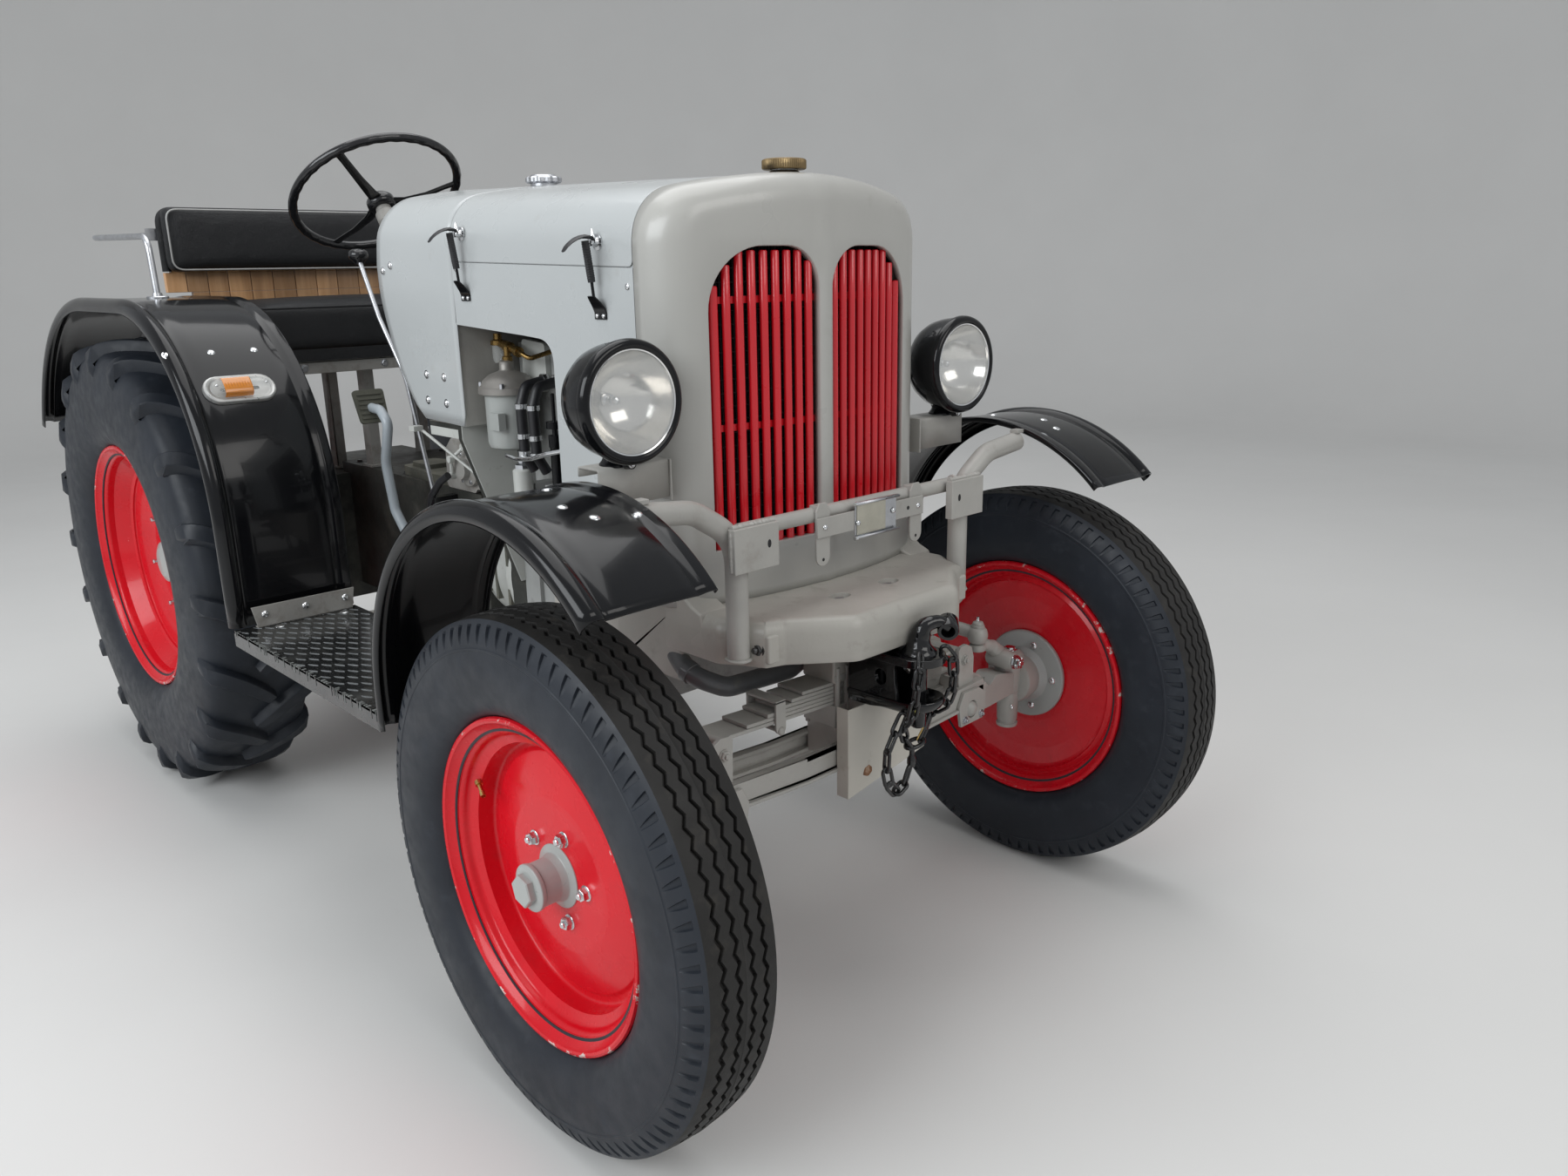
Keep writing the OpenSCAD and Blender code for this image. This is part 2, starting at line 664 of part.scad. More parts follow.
module rear_fenders() color(black) place() both() {
    side_cut(rf_in, rf_out) strip(rf_line(0), rf_line(3));
    side_cut(rf_out - 4, rf_out) strip(rf_line(0), rf_line(34));
    side_cut(rf_in, rf_in + 3) strip(rf_line(0), rf_line(16));
    // stays up from the brake covers
    box([434, 440], [wheelbase - 25, wheelbase + 25], [rear_z + 130.3, rf_c + rf_r - 6]);
    box([434, rf_in + 2], [wheelbase - 25, wheelbase + 25], [rf_c + rf_r - 14, rf_c + rf_r - 6]);
}

module footboards() color(black) place() both() {
    y = [ff_c[0] + ff_r + 0.3, rf_front - 0.3];
    box([rf_in, rf_out - 2], y, [board_z - 6, board_z]);
    box([rf_out - 6, rf_out - 2], y, [board_z - 36, board_z]);
    box([rf_in, rf_in + 4], y, [board_z - 36, board_z]);
    for (b = [[195.3, 600], [160.3, 1080]]) {
        box([b[0], rf_in + 15], [b[1], b[1] + 40], [board_z - 54, board_z - 20]);
        box([rf_in - 15, rf_out - 18], [b[1], b[1] + 40], [board_z - 40, board_z - 5]);
    }
}

module turn_lamps() color(amber) place() both()
    translate([612, rf_front + 103, rf_c + rf_r - 196]) rotate([52.6, 0, 0]) translate([-50, -24, 0.3]) cube([100, 48, 26]);

// Seat

seat_y = wheelbase - 400;
back_y = wheelbase + 62;
seat_z = 1168;

module seat_boards() color(wood) place() {
    box([-500, 500], [back_y, back_y + 20], [seat_z + 178, seat_z + 407]);
    box([-430, 430], [back_y, back_y + 20], [seat_z - 18, seat_z + 179]);
    box([-430, 430], [seat_y, back_y + 1], [seat_z + 0.3, seat_z + 18]);
}

module seat_cushion() color(black) place()
    box([-430, 430], [seat_y - 4, back_y - 12], [seat_z + 18.3, seat_z + 162]);

module seat_back() color(black) place()
    box([-498, 498], [back_y - 67, back_y - 0.3], [seat_z + 228, seat_z + 400]);

module seat_frame() color(grey) place() {
    for (y = [[seat_y + 4, seat_y + 40], [back_y - 42, back_y - 2]]) box([-430, 430], y, [seat_z - 28, seat_z]);
    both() {
        box([120, 150], [seat_y + 4, back_y - 2], [seat_z - 28, seat_z]);
        box([120, 150], [wheelbase - 100, wheelbase - 60], [830.3, seat_z - 26]);
        box([120, 150], [wheelbase - 340, wheelbase - 300], [860.3, seat_z - 26]);
    }
}

// The feet stand on the rear fenders, the rear one on the falling arc
module armrests() color(zinc) place() both() {
    front = wheelbase - 200;
    back = wheelbase + 290;
    top = rf_c + rf_r + 148;
    bent([[600, front, rf_c + rf_r + 0.3], [600, front, top - 18], [600, front + 30, top],
        [600, back - 30, top], [600, back, top - 18], [600, back, rf_c + 0.4 + sqrt(pow(rf_r, 2) - pow(282, 2))]],
        8, 16);
}

// Driving controls

steer_c = [-100, 1560, 1588];
steer_n = [0, sin(steer_lean), cos(steer_lean)];

module steer_frame() {
    translate(steer_c) rotate([-steer_lean, 0, 0]) children();
}

module steering_wheel() color(black) place() steer_frame() {
    rotate_extrude($fn = 64) translate([steer_r - 11, 0]) circle(r = 11.5, $fn = 16);
    for (a = [0 : 2]) rotate([0, 0, a * 120 + 60])
        bar([30, 0, -26], [steer_r - 12, 0, -1], 5.5, 16);
    translate([0, 0, -44]) cylinder(h = 34, r = 36, $fn = 32);
    translate([0, 0, -12]) cylinder(h = 8, r = 24, $fn = 32);
}

module steering_column() color(grey) place() {
    steer_frame() translate([0, 0, -760]) cylinder(h = 715.7, r = 22, $fn = 24);
    box([-160, -40], [960, 1220], [872, 990]);
    box([-160, -40], [1070, 1220], [860.3, 990]);
    pin_x([75, drop_y, drop_z], 277.4, 20);
}

module pedals() color(grey) place() {
    bent([[-270, 1250, 560], [-262, 1300, 680], [-270, 1300, 860], [-290, 1300, 1030], [-296, 1312, 1070]], 12, 16);
    translate([-296, 1312, 1070]) rotate([-20, 0, 0]) translate([-40, -4, -42]) cube([80, 8, 84]);
    box([-285, -160.3], [1225, 1265], [545, 585]);
    mirror([1, 0, 0]) {
        bent([[-270, 1250, 560], [-262, 1300, 680], [-270, 1260, 860], [-280, 1230, 930]], 12, 16);
        translate([-280, 1232, 930]) rotate([-40, 0, 0]) translate([-40, -4, -42]) cube([80, 8, 84]);
        box([-285, -160.3], [1225, 1265], [545, 585]);
    }
}

module levers() color(black) place() {
    box([-225, -160.3], [1168, 1192], [820, 850]);
    bent([[-215, 1180, 840], [-222, 1285, 1272], [-250, 1387, 1425]], 7, 16);
    translate([-250, 1387, 1432]) sphere(r = 22, $fn = 24);
    pin_z([0, 1330, 875], 29.4, 30);
    bent([[0, 1330, 876], [0, 1350, 1150]], 9, 16);
    translate([0, 1350, 1160]) sphere(r = 22, $fn = 24);
}

// Engine, gearbox and what is hung on them

module engine() color(dark_grey) place() {
    box([-195, 195], [335, 770], [520, 1240]);
    box([-205, 205], [740, 799.7], [500, 960]);
    both() box([190, 244.7], [380, 440], [660, 720]);
}

module gearbox() color(grey) place() {
    box([-205, 205], [800, 860], [480, 900]);
    translate([0, 860, 690]) rotate([-90, 0, 0]) cylinder(h = 200, r1 = 204, r2 = 165, $fn = 64);
    box([-160, 160], [1050, wheelbase - 160], [500, 860]);
    box([-200, 200], [wheelbase - 200, wheelbase + 200], [460, 830]);
    both() {
        front_cut(802, 816) polygon([[200, 700], [216, 700], [332.2, 1040], [332.2, 1071.7], [200, 1071.7]]);
        box([182, 332.2], [802, 940], [1060, 1071.7]);
        box([182, 205], [802, 816], [880, 1071.7]);
    }
    // power take-off
    pin_y([0, wheelbase + 245, 640], 92, 17.45);
    pin_y([0, wheelbase + 204, 640], 12, 45);
}

module rear_axle() color(grey) place() both() {
    pin_x([301.2, wheelbase, rear_z], 201.8, 75);
    pin_x([398, wheelbase, rear_z], 20, 110);
    pin_x([(408 + rear_x) / 2, wheelbase, rear_z], rear_x - 408, 32);
    // brake drum cover
    pin_x([428, wheelbase, rear_z], 44, 130);
}

module drawbar() color(black) place() {
    difference() {
        box([-60, 60], [wheelbase + 200.3, wheelbase + 420], [430, 450]);
        pin_z([0, wheelbase + 380, 440], 60, 16);
    }
    box([-60, 60], [wheelbase + 200.3, wheelbase + 216], [430, 560]);
}

module fuel_filter() color(grey) place() {
    translate([-262, 640, 1020]) rotate_extrude($fn = 48) polygon([[0, 0], [34, 0], [50, 8], [52, 20], [52, 166],
        [58, 168], [58, 182], [53, 184], [48, 202], [36, 216], [20, 223], [12, 224], [12, 242], [0, 242]]);
    box([-262, -195.3], [610, 670], [1190, 1206]);
}

module injection_pump() color(dark_grey) place() {
    box([-270, -195.3], [450, 590], [880, 960]);
    for (y = [475, 520, 565]) pin_z([-240, y, 990], 70, 16, 24);
    bent([[-262, 640, 1019.7], [-262, 640, 1000], [-266, 590, 975], [-262, 540, 950]], 8, 16);
}

engine();
gearbox();
rear_axle();
front_casting();
front_axle();
leaf_spring();
guard_plate();
grille_shell();
grille_bars();
radiator();
radiator_cap();
side_panels();
cowl();
fuel_tank();
fuel_cap();
bonnet();
bonnet_latches();
headlights();
headlight_glass();
lamp_brackets();
bumper();
plate_holder();
tow_jaw();
tow_chain();
front_fenders();
rear_fenders();
footboards();
turn_lamps();
seat_boards();
seat_frame();
seat_cushion();
seat_back();
armrests();
steering_column();
steering_wheel();
drop_arm();
pedals();
levers();
fuel_filter();
injection_pump();
drawbar();
knuckle_right();
knuckle_left();
track_rod();
drag_link();
wheel_front_right();
wheel_front_left();
wheel_rear_right();
wheel_rear_left();
tyre_front_right();
tyre_front_left();
tyre_rear_right();
tyre_rear_left();
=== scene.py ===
"""The looks of a vintage farm tractor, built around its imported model.

Shapes are written in millimetres from the front axle, with +Z up, the nose to -Y
and the tractor's left side to +X. to_row() moves them to metres around the origin.
"""
import math
import random

import bmesh
import bpy
from mathutils import Matrix, Vector
from mathutils.geometry import delaunay_2d_cdt


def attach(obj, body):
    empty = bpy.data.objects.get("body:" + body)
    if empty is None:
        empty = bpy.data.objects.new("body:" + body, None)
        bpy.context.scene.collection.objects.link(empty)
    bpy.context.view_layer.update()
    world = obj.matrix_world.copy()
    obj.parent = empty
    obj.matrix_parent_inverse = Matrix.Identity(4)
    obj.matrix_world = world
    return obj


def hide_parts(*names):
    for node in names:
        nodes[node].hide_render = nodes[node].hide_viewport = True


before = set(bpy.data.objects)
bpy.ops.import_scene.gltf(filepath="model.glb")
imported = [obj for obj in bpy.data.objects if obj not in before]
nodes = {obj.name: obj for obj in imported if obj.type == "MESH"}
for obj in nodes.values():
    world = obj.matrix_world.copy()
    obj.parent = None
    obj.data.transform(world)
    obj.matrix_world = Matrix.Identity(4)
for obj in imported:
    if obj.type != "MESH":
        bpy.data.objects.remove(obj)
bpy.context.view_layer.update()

UP = (0, 0, 1)
DOWN = (0, 0, -1)
LEFT = (1, 0, 0)
RIGHT = (-1, 0, 0)
AHEAD = (0, -1, 0)
BACK = (0, 1, 0)

WHEELBASE = 2000
FRONT_RADIUS = 445
FRONT_TRACK = 660.5
REAR_RADIUS = 617
REAR_TRACK = 592
REAR_SWEEP = 740
SHIFT = -(WHEELBASE + REAR_SWEEP * math.cos(math.radians(30)) - FRONT_RADIUS) / 2


def to_row(p):
    """From the script's millimetres to the row frame's metres."""
    return Vector((p[0] / 1000, (p[1] + SHIFT) / 1000, p[2] / 1000))


# Camera, at the place worked out from the photograph

def set_camera():
    yaw = math.radians(44.06)
    pitch = math.radians(-15.76)
    roll = math.radians(-0.95)
    ahead = Vector((math.sin(yaw) * math.cos(pitch), math.cos(yaw) * math.cos(pitch), math.sin(pitch)))
    right = ahead.cross(Vector(UP)).normalized()
    up = right.cross(ahead)
    right_r = math.cos(roll) * right + math.sin(roll) * up
    up_r = -math.sin(roll) * right + math.cos(roll) * up
    turn = Matrix((right_r, up_r, -ahead)).transposed()
    data = bpy.data.cameras.new("camera")
    data.lens = 26.25
    data.sensor_width = 36
    data.clip_start = 0.05
    camera = bpy.data.objects.new("camera", data)
    camera.matrix_world = Matrix.Translation((-1.55316, -2.55044, 1.39198)) @ turn.to_4x4()
    bpy.context.scene.collection.objects.link(camera)
    bpy.context.scene.camera = camera


# Materials

def feed(tree, sockets, values):
    """Links each named socket to its value, or sets it."""
    for key, value in values.items():
        socket = sockets[key]
        if isinstance(value, bpy.types.NodeSocket):
            tree.links.new(value, socket)
        elif socket.type == "RGBA":
            socket.default_value = (*value, 1)
        else:
            socket.default_value = value


def node(tree, kind, inputs=None, **settings):
    n = tree.nodes.new("ShaderNode" + kind)
    for key, value in settings.items():
        setattr(n, key, value)
    feed(tree, n.inputs, inputs or {})
    return n


def place_coords(tree):
    return node(tree, "TexCoord").outputs["Object"]


def noise(tree, coords, scale, detail=4, rough=0.55):
    inputs = {"Vector": coords, "Scale": scale, "Detail": detail, "Roughness": rough}
    return node(tree, "TexNoise", inputs).outputs["Fac"]


def span(tree, value, a, b, lo, hi):
    inputs = {"Value": value, "From Min": a, "From Max": b, "To Min": lo, "To Max": hi}
    return node(tree, "MapRange", inputs).outputs["Result"]


def blend(tree, factor, a, b):
    return node(tree, "Mix", {0: factor, 6: a, 7: b}, data_type="RGBA").outputs[2]


def combine(tree, kind, a, b):
    return node(tree, "Math", {0: a, 1: b}, operation=kind).outputs[0]


def bump(tree, height, distance, below=None):
    """The normal over a height; below is the normal of a coarser bump."""
    inputs = {"Strength": 1, "Distance": distance, "Height": height}
    if below is not None:
        inputs["Normal"] = below
    return node(tree, "Bump", inputs).outputs["Normal"]


def new_material(name):
    """A material with its node tree and the inputs of its shader."""
    m = bpy.data.materials.new(name)
    m.use_nodes = True
    return m, m.node_tree, m.node_tree.nodes["Principled BSDF"].inputs


def material(name, colour, rough, metal=0.0, coat=0.0, coat_rough=0.06, specular=0.5, vary=0.08, patch=4.0,
             rough_vary=0.06, grain=0.0, grain_scale=300.0, blotch=None, blotch_at=(0.6, 0.75),
             blotch_scale=14.0, worn_edges=None):
    """A painted, cast or rubber surface: colour drifts in patches, gloss varies, fine grain and blotches of
    dirt; on the tyre walls the blotches are dust and painted sheen.
    """
    m, tree, inputs = new_material(name)
    coords = place_coords(tree)
    low = tuple(c * (1 - vary) for c in colour)
    high = tuple(min(1, c * (1 + vary)) for c in colour)
    base = blend(tree, span(tree, noise(tree, coords, patch, 5), 0.3, 0.7, 0, 1), low, high)
    gloss = span(tree, noise(tree, coords, patch * 4.3, 3), 0.3, 0.7, rough - rough_vary, rough + rough_vary)
    if blotch:
        mask = span(tree, noise(tree, coords, blotch_scale, 8, 0.65), *blotch_at, 0, 1)
        base = blend(tree, mask, base, blotch)
        gloss = combine(tree, "ADD", gloss, combine(tree, "MULTIPLY", mask, 0.25))
    if worn_edges:
        edge = node(tree, "NewGeometry").outputs["Pointiness"]
        base = blend(tree, span(tree, edge, 0.53, 0.6, 0, 0.7), base, worn_edges)
    if grain:
        feed(tree, inputs, {"Normal": bump(tree, noise(tree, coords, grain_scale, 3), grain)})
    feed(tree, inputs, {"Base Color": base, "Roughness": gloss, "Metallic": metal, "Coat Weight": coat,
                        "Coat Roughness": coat_rough, "Specular IOR Level": specular})
    return m


# The blotch colour is dust on the tread, and dust with painted sheen on the walls.
def tyre_material(name, colour, rough, grain, dust_and_sheen):
    return material(name, colour, rough, specular=0.3, vary=0.18, patch=7, rough_vary=0.08, grain=grain,
                    grain_scale=240, blotch=dust_and_sheen, blotch_at=(0.55, 0.85), blotch_scale=26)


def clear_material(name, colour, alpha, rough):
    m = material(name, colour, rough, vary=0.05, patch=20, rough_vary=0.02, coat=0.6, coat_rough=0.03)
    m.node_tree.nodes["Principled BSDF"].inputs["Alpha"].default_value = alpha
    return m


def wood_material(name, stretch, light=1.0):
    """Wood whose grain is drawn out by stretch; light is its brightness."""
    m, tree, inputs = new_material(name)
    coords = node(tree, "Mapping", {"Scale": stretch, "Vector": place_coords(tree)}).outputs["Vector"]
    fine = noise(tree, coords, 3.0, 8, 0.6)
    bands = {"Scale": 0.7, "Distortion": 7, "Detail": 3, "Vector": coords}
    rings = node(tree, "TexWave", bands, wave_type="BANDS", bands_direction="Z").outputs["Fac"]
    pale, deep = [tuple(c * light for c in colour) for colour in ((0.6, 0.35, 0.175), (0.46, 0.24, 0.1))]
    base = blend(tree, span(tree, fine, 0.3, 0.7, 0, 1), pale, deep)
    base = blend(tree, span(tree, rings, 0.2, 1, 0, 0.45), base, (0.3, 0.15, 0.06))
    feed(tree, inputs, {"Base Color": base, "Roughness": span(tree, fine, 0.3, 0.7, 0.36, 0.52),
                        "Coat Weight": 0.35, "Coat Roughness": 0.2, "Normal": bump(tree, fine, 0.0003)})
    return m


def vinyl_material():
    """Black vinyl with fine cells over soft creases."""
    m, tree, inputs = new_material("black_vinyl")
    coords = place_coords(tree)
    base = blend(tree, noise(tree, coords, 9, 5), (0.0095, 0.0098, 0.0108), (0.016, 0.0165, 0.018))
    gloss = span(tree, noise(tree, coords, 30, 4), 0.3, 0.7, 0.3, 0.4)
    cells = node(tree, "TexVoronoi", {"Scale": 420, "Vector": coords}, feature="DISTANCE_TO_EDGE")
    skin = bump(tree, span(tree, cells.outputs["Distance"], 0, 0.2, 0, 1), 0.0004)
    folds = bump(tree, noise(tree, coords, 16, 6, 0.6), 0.003, skin)
    feed(tree, inputs, {"Base Color": base, "Roughness": gloss, "Normal": folds, "Specular IOR Level": 0.3})
    return m


def wheel_red(name, centre, lip):
    """Red paint with pale chips along the rim's lip, for a wheel whose hub is at centre."""
    m = material("red_" + name, (0.62, 0.005, 0.014), 0.27, coat=0.22, coat_rough=0.07, specular=0.25,
                 vary=0.06, patch=5, grain=0.00012, grain_scale=60, blotch=(0.42, 0.01, 0.015),
                 blotch_at=(0.6, 0.9))
    tree = m.node_tree
    base = tree.nodes["Principled BSDF"].inputs["Base Color"]
    coords = place_coords(tree)
    away = node(tree, "VectorMath", {0: coords, 1: centre}, operation="SUBTRACT").outputs[0]
    flat = node(tree, "VectorMath", {0: away, 1: (0, 1, 1)}, operation="MULTIPLY").outputs[0]
    radius = node(tree, "VectorMath", {0: flat}, operation="LENGTH").outputs["Value"]
    near = span(tree, radius, lip, lip + 0.006, 0, 0.14)
    mask = span(tree, combine(tree, "ADD", noise(tree, coords, 34, 7, 0.7), near), 0.73, 0.75, 0, 1)
    tree.links.new(blend(tree, mask, base.links[0].from_socket, (0.62, 0.5, 0.46)), base)
    return m


# The sheets' slight blue tint is painted cool window light from the side; the shell's grey below is a
# darker, warmer copy of it, painted shade of the less lit front face.
sheet_grey = material("sheet_grey", (0.455, 0.475, 0.475), 0.3, coat=0.35, coat_rough=0.12, vary=0.035,
                      patch=2.2, grain=0.00006, grain_scale=90, blotch=(0.36, 0.36, 0.34), blotch_at=(0.62, 0.9))
shell_grey_shaded = material("shell_grey_shaded", (0.40, 0.395, 0.37), 0.33, coat=0.3, coat_rough=0.15, vary=0.04,
                      patch=2.5, grain=0.00008, grain_scale=110, blotch=(0.33, 0.32, 0.29), blotch_at=(0.6, 0.9))
cast_grey = material("cast_grey", (0.37, 0.355, 0.32), 0.42, coat=0.12, coat_rough=0.25, vary=0.08,
                     patch=6, grain=0.00035, grain_scale=140, blotch=(0.22, 0.2, 0.17), blotch_at=(0.58, 0.85),
                     worn_edges=(0.5, 0.48, 0.44))
engine_grey = material("engine_grey", (0.33, 0.335, 0.325), 0.4, coat=0.2, coat_rough=0.2, vary=0.12,
                       patch=9, grain=0.0005, grain_scale=120, blotch=(0.07, 0.065, 0.055),
                       blotch_at=(0.52, 0.75), blotch_scale=9)
frame_grey = material("frame_grey", (0.36, 0.35, 0.325), 0.42, coat=0.15, coat_rough=0.25, vary=0.09,
                      patch=8, grain=0.0003, grain_scale=160, blotch=(0.25, 0.23, 0.2), blotch_at=(0.58, 0.85))
hub_grey = material("hub_grey", (0.36, 0.375, 0.36), 0.33, coat=0.25, vary=0.05, patch=12,
                    grain=0.00015, grain_scale=180)
bar_red = material("bar_red", (0.56, 0.004, 0.012), 0.32, coat=0.5, coat_rough=0.1, vary=0.06, patch=6,
                   grain=0.0001, grain_scale=80)
black_gloss = material("black_gloss", (0.004, 0.0042, 0.005), 0.16, coat=0.2, coat_rough=0.03, vary=0.2,
                       patch=3, specular=0.22, rough_vary=0.03, grain=0.00006, grain_scale=45,
                       blotch=(0.05, 0.05, 0.048), blotch_at=(0.66, 0.95), blotch_scale=22)
black_tar = material("black_tar", (0.004, 0.004, 0.0045), 0.1, coat=0.45, coat_rough=0.04, vary=0.2,
                     patch=10, specular=0.3, rough_vary=0.05, grain=0.0008, grain_scale=75)
black_matt = material("black_matt", (0.018, 0.018, 0.02), 0.55, vary=0.2, patch=20, grain=0.0001)
# Near black standing in for shade: painted shade in the plates' holes and on the unlit fuel tank under the
# cowl; on the radiator core partly the core's black paint, partly painted shade deep behind the grille.
painted_shade_black = material("painted_shade_black", (0.012, 0.012, 0.013), 0.75, vary=0.3, patch=9, grain=0.0004)
black_rubber = material("black_rubber", (0.013, 0.013, 0.015), 0.42, vary=0.2, patch=24,
                        grain=0.0001, grain_scale=260)
black_wheel = material("black_wheel", (0.008, 0.008, 0.009), 0.22, coat=0.5, specular=0.35, vary=0.2,
                       patch=12, grain=0.00005)
bright = material("bright_zinc", (0.72, 0.73, 0.74), 0.2, metal=1.0, vary=0.06, patch=40,
                  rough_vary=0.08, grain=0.00006, grain_scale=400)
zinc = material("galvanised", (0.52, 0.53, 0.55), 0.36, metal=1.0, vary=0.12, patch=30,
                rough_vary=0.1, grain=0.0001, grain_scale=200)
yellow_zinc = material("yellow_zinc", (0.52, 0.5, 0.42), 0.38, metal=0.85, vary=0.12, patch=22,
                       rough_vary=0.1)
brass = material("old_brass", (0.23, 0.165, 0.085), 0.42, metal=0.9, vary=0.25, patch=30,
                 rough_vary=0.12, grain=0.0002, grain_scale=160, blotch=(0.08, 0.06, 0.035))
clean_brass = material("brass", (0.55, 0.38, 0.14), 0.25, metal=1.0, vary=0.12, patch=40)
steel_dark = material("dark_steel", (0.09, 0.09, 0.09), 0.4, metal=0.8, vary=0.2, patch=30, grain=0.0002)
mirror_ring = material("bright_ring", (0.8, 0.8, 0.8), 0.12, metal=1.0, vary=0.03, patch=20)
reflector = material("reflector", (0.78, 0.76, 0.72), 0.16, metal=1.0, vary=0.05, patch=18)
# The walls' blue tint and their blue-grey blotches are partly dust, partly painted sheen of the cool window
# light.
wall_rubber = tyre_material("tyre_wall", (0.016, 0.0195, 0.026), 0.46, 0.00012, (0.035, 0.04, 0.05))
tread_rubber = tyre_material("tyre_tread", (0.0165, 0.0155, 0.0145), 0.6, 0.0003, (0.05, 0.045, 0.038))
wood = wood_material("wood", (1.2, 26, 26))
vinyl = vinyl_material()
piping = material("piping", (0.34, 0.34, 0.33), 0.45, vary=0.1, patch=30)
lamp_glass = clear_material("lamp_glass", (0.85, 0.87, 0.86), 0.2, 0.05)
amber_glass = clear_material("amber_lens", (0.6, 0.2, 0.012), 0.9, 0.14)
clear_lens = clear_material("clear_lens", (0.6, 0.61, 0.59), 0.35, 0.1)
lamp_frame = material("lamp_frame", (0.5, 0.5, 0.485), 0.32, metal=0.6, vary=0.06, patch=30)
filter_head = material("filter_head", (0.27, 0.255, 0.235), 0.42, metal=0.4, vary=0.1, patch=30)
tap_brass = material("tap_brass", (0.24, 0.15, 0.05), 0.28, metal=0.85, vary=0.15, patch=50)
chain_black = material("chain_black", (0.005, 0.005, 0.0055), 0.3, coat=0.35, coat_rough=0.1, vary=0.3,
                       patch=60, grain=0.0003, grain_scale=300)
yellow_paint = material("yellow_paint", (0.62, 0.6, 0.12), 0.4, vary=0.1, patch=60)
rust = material("rust", (0.2, 0.09, 0.04), 0.8, vary=0.4, patch=60, grain=0.0006, grain_scale=300,
                blotch=(0.4, 0.3, 0.22), blotch_at=(0.5, 0.7), blotch_scale=60)
plate_grey = material("plate_grey", (0.5, 0.475, 0.42), 0.42, coat=0.15, coat_rough=0.2, vary=0.06, patch=6,
                      grain=0.0002, grain_scale=120, blotch=(0.3, 0.26, 0.2), blotch_at=(0.62, 0.85),
                      blotch_scale=18)
pipe_grey = material("pipe_grey", (0.11, 0.115, 0.12), 0.4, coat=0.2, vary=0.15, patch=12, grain=0.0003,
                     blotch=(0.2, 0.18, 0.15), blotch_at=(0.55, 0.8), blotch_scale=16)
board_black = material("board_black", (0.011, 0.0115, 0.0115), 0.25, coat=0.6, specular=0.35,
                       coat_rough=0.12, vary=0.2, patch=6, grain=0.0002, grain_scale=150,
                       blotch=(0.05, 0.05, 0.046), blotch_at=(0.5, 0.8), blotch_scale=9)
worn_black = material("worn_black", (0.15, 0.158, 0.16), 0.24, metal=0.5, coat=0.7, coat_rough=0.06,
                      vary=0.3, patch=30)
scuffed = material("scuffed_edge", (0.11, 0.115, 0.11), 0.5, vary=0.4, patch=60, grain=0.0004,
                   grain_scale=300)
angle_grey = material("angle_grey", (0.3, 0.29, 0.27), 0.45, vary=0.1, patch=10, grain=0.0005,
                      grain_scale=160, blotch=(0.14, 0.12, 0.1), blotch_at=(0.5, 0.8), blotch_scale=20)
gear_black = material("gear_black", (0.035, 0.036, 0.032), 0.5, specular=0.3, vary=0.3, patch=8,
                      grain=0.0008, grain_scale=60, blotch=(0.1, 0.095, 0.08), blotch_at=(0.5, 0.8),
                      blotch_scale=7)
gear_olive = material("gear_olive", (0.085, 0.085, 0.068), 0.5, vary=0.3, patch=9, grain=0.001,
                      grain_scale=50, blotch=(0.16, 0.15, 0.12), blotch_at=(0.5, 0.8), blotch_scale=9)
light_grey = material("light_grey", (0.52, 0.53, 0.5), 0.35, coat=0.2, vary=0.06, patch=10, grain=0.0002,
                      blotch=(0.2, 0.18, 0.14), blotch_at=(0.6, 0.85), blotch_scale=20)
rust_line = material("rust_line", (0.3, 0.19, 0.12), 0.7, vary=0.4, patch=40, grain=0.0004, grain_scale=200)
planks = [wood_material("plank_mid", (26, 26, 1.4)), wood_material("plank_light", (24, 24, 1.3), 1.25),
          wood_material("plank_dark", (28, 28, 1.6), 0.78)]
pad_olive = material("pad_olive", (0.09, 0.09, 0.07), 0.5, vary=0.15, patch=20, grain=0.0004,
                     grain_scale=200)
arm_grey = material("arm_grey", (0.36, 0.4, 0.43), 0.35, coat=0.2, vary=0.08, patch=14, grain=0.0002)


# Shapes

def angles(n, count=None):
    """Angles at equal steps of a full turn over n."""
    return [math.tau * k / n for k in range(count or n)]


def arc(c, r, a0, a1, n):
    return [(c[0] + r * math.cos(math.radians(a0 + (a1 - a0) * i / n)),
             c[1] + r * math.sin(math.radians(a0 + (a1 - a0) * i / n))) for i in range(n + 1)]


def fillet(points, radius, steps=5, closed=False):
    """Rounds the corners of a path or outline, in two or three dimensions."""
    pts = [Vector(p) for p in points]
    count = len(pts)
    out = []
    for i in range(count):
        if not closed and i in (0, count - 1):
            out.append(pts[i])
            continue
        r = radius[i] if isinstance(radius, (list, tuple)) else radius
        p, a, b = pts[i], pts[i - 1], pts[(i + 1) % count]
        u = a - p
        v = b - p
        if r <= 0 or u.length < 1e-6 or v.length < 1e-6:
            out.append(p)
            continue
        angle = u.angle(v)
        if angle > math.pi - 0.02:
            out.append(p)
            continue
        cut = min(r / math.tan(angle / 2), u.length * 0.49, v.length * 0.49)
        start = p + u.normalized() * cut
        end = p + v.normalized() * cut
        for k in range(steps + 1):
            t = k / steps
            out.append((1 - t) ** 2 * start + 2 * t * (1 - t) * p + t ** 2 * end)
    return out


def rounded(points, radius, steps=5, closed=False):
    """Rounds the corners of a flat outline and keeps it flat."""
    return [(p.y, p.z) for p in fillet([(0, a, b) for a, b in points], radius, steps, closed)]


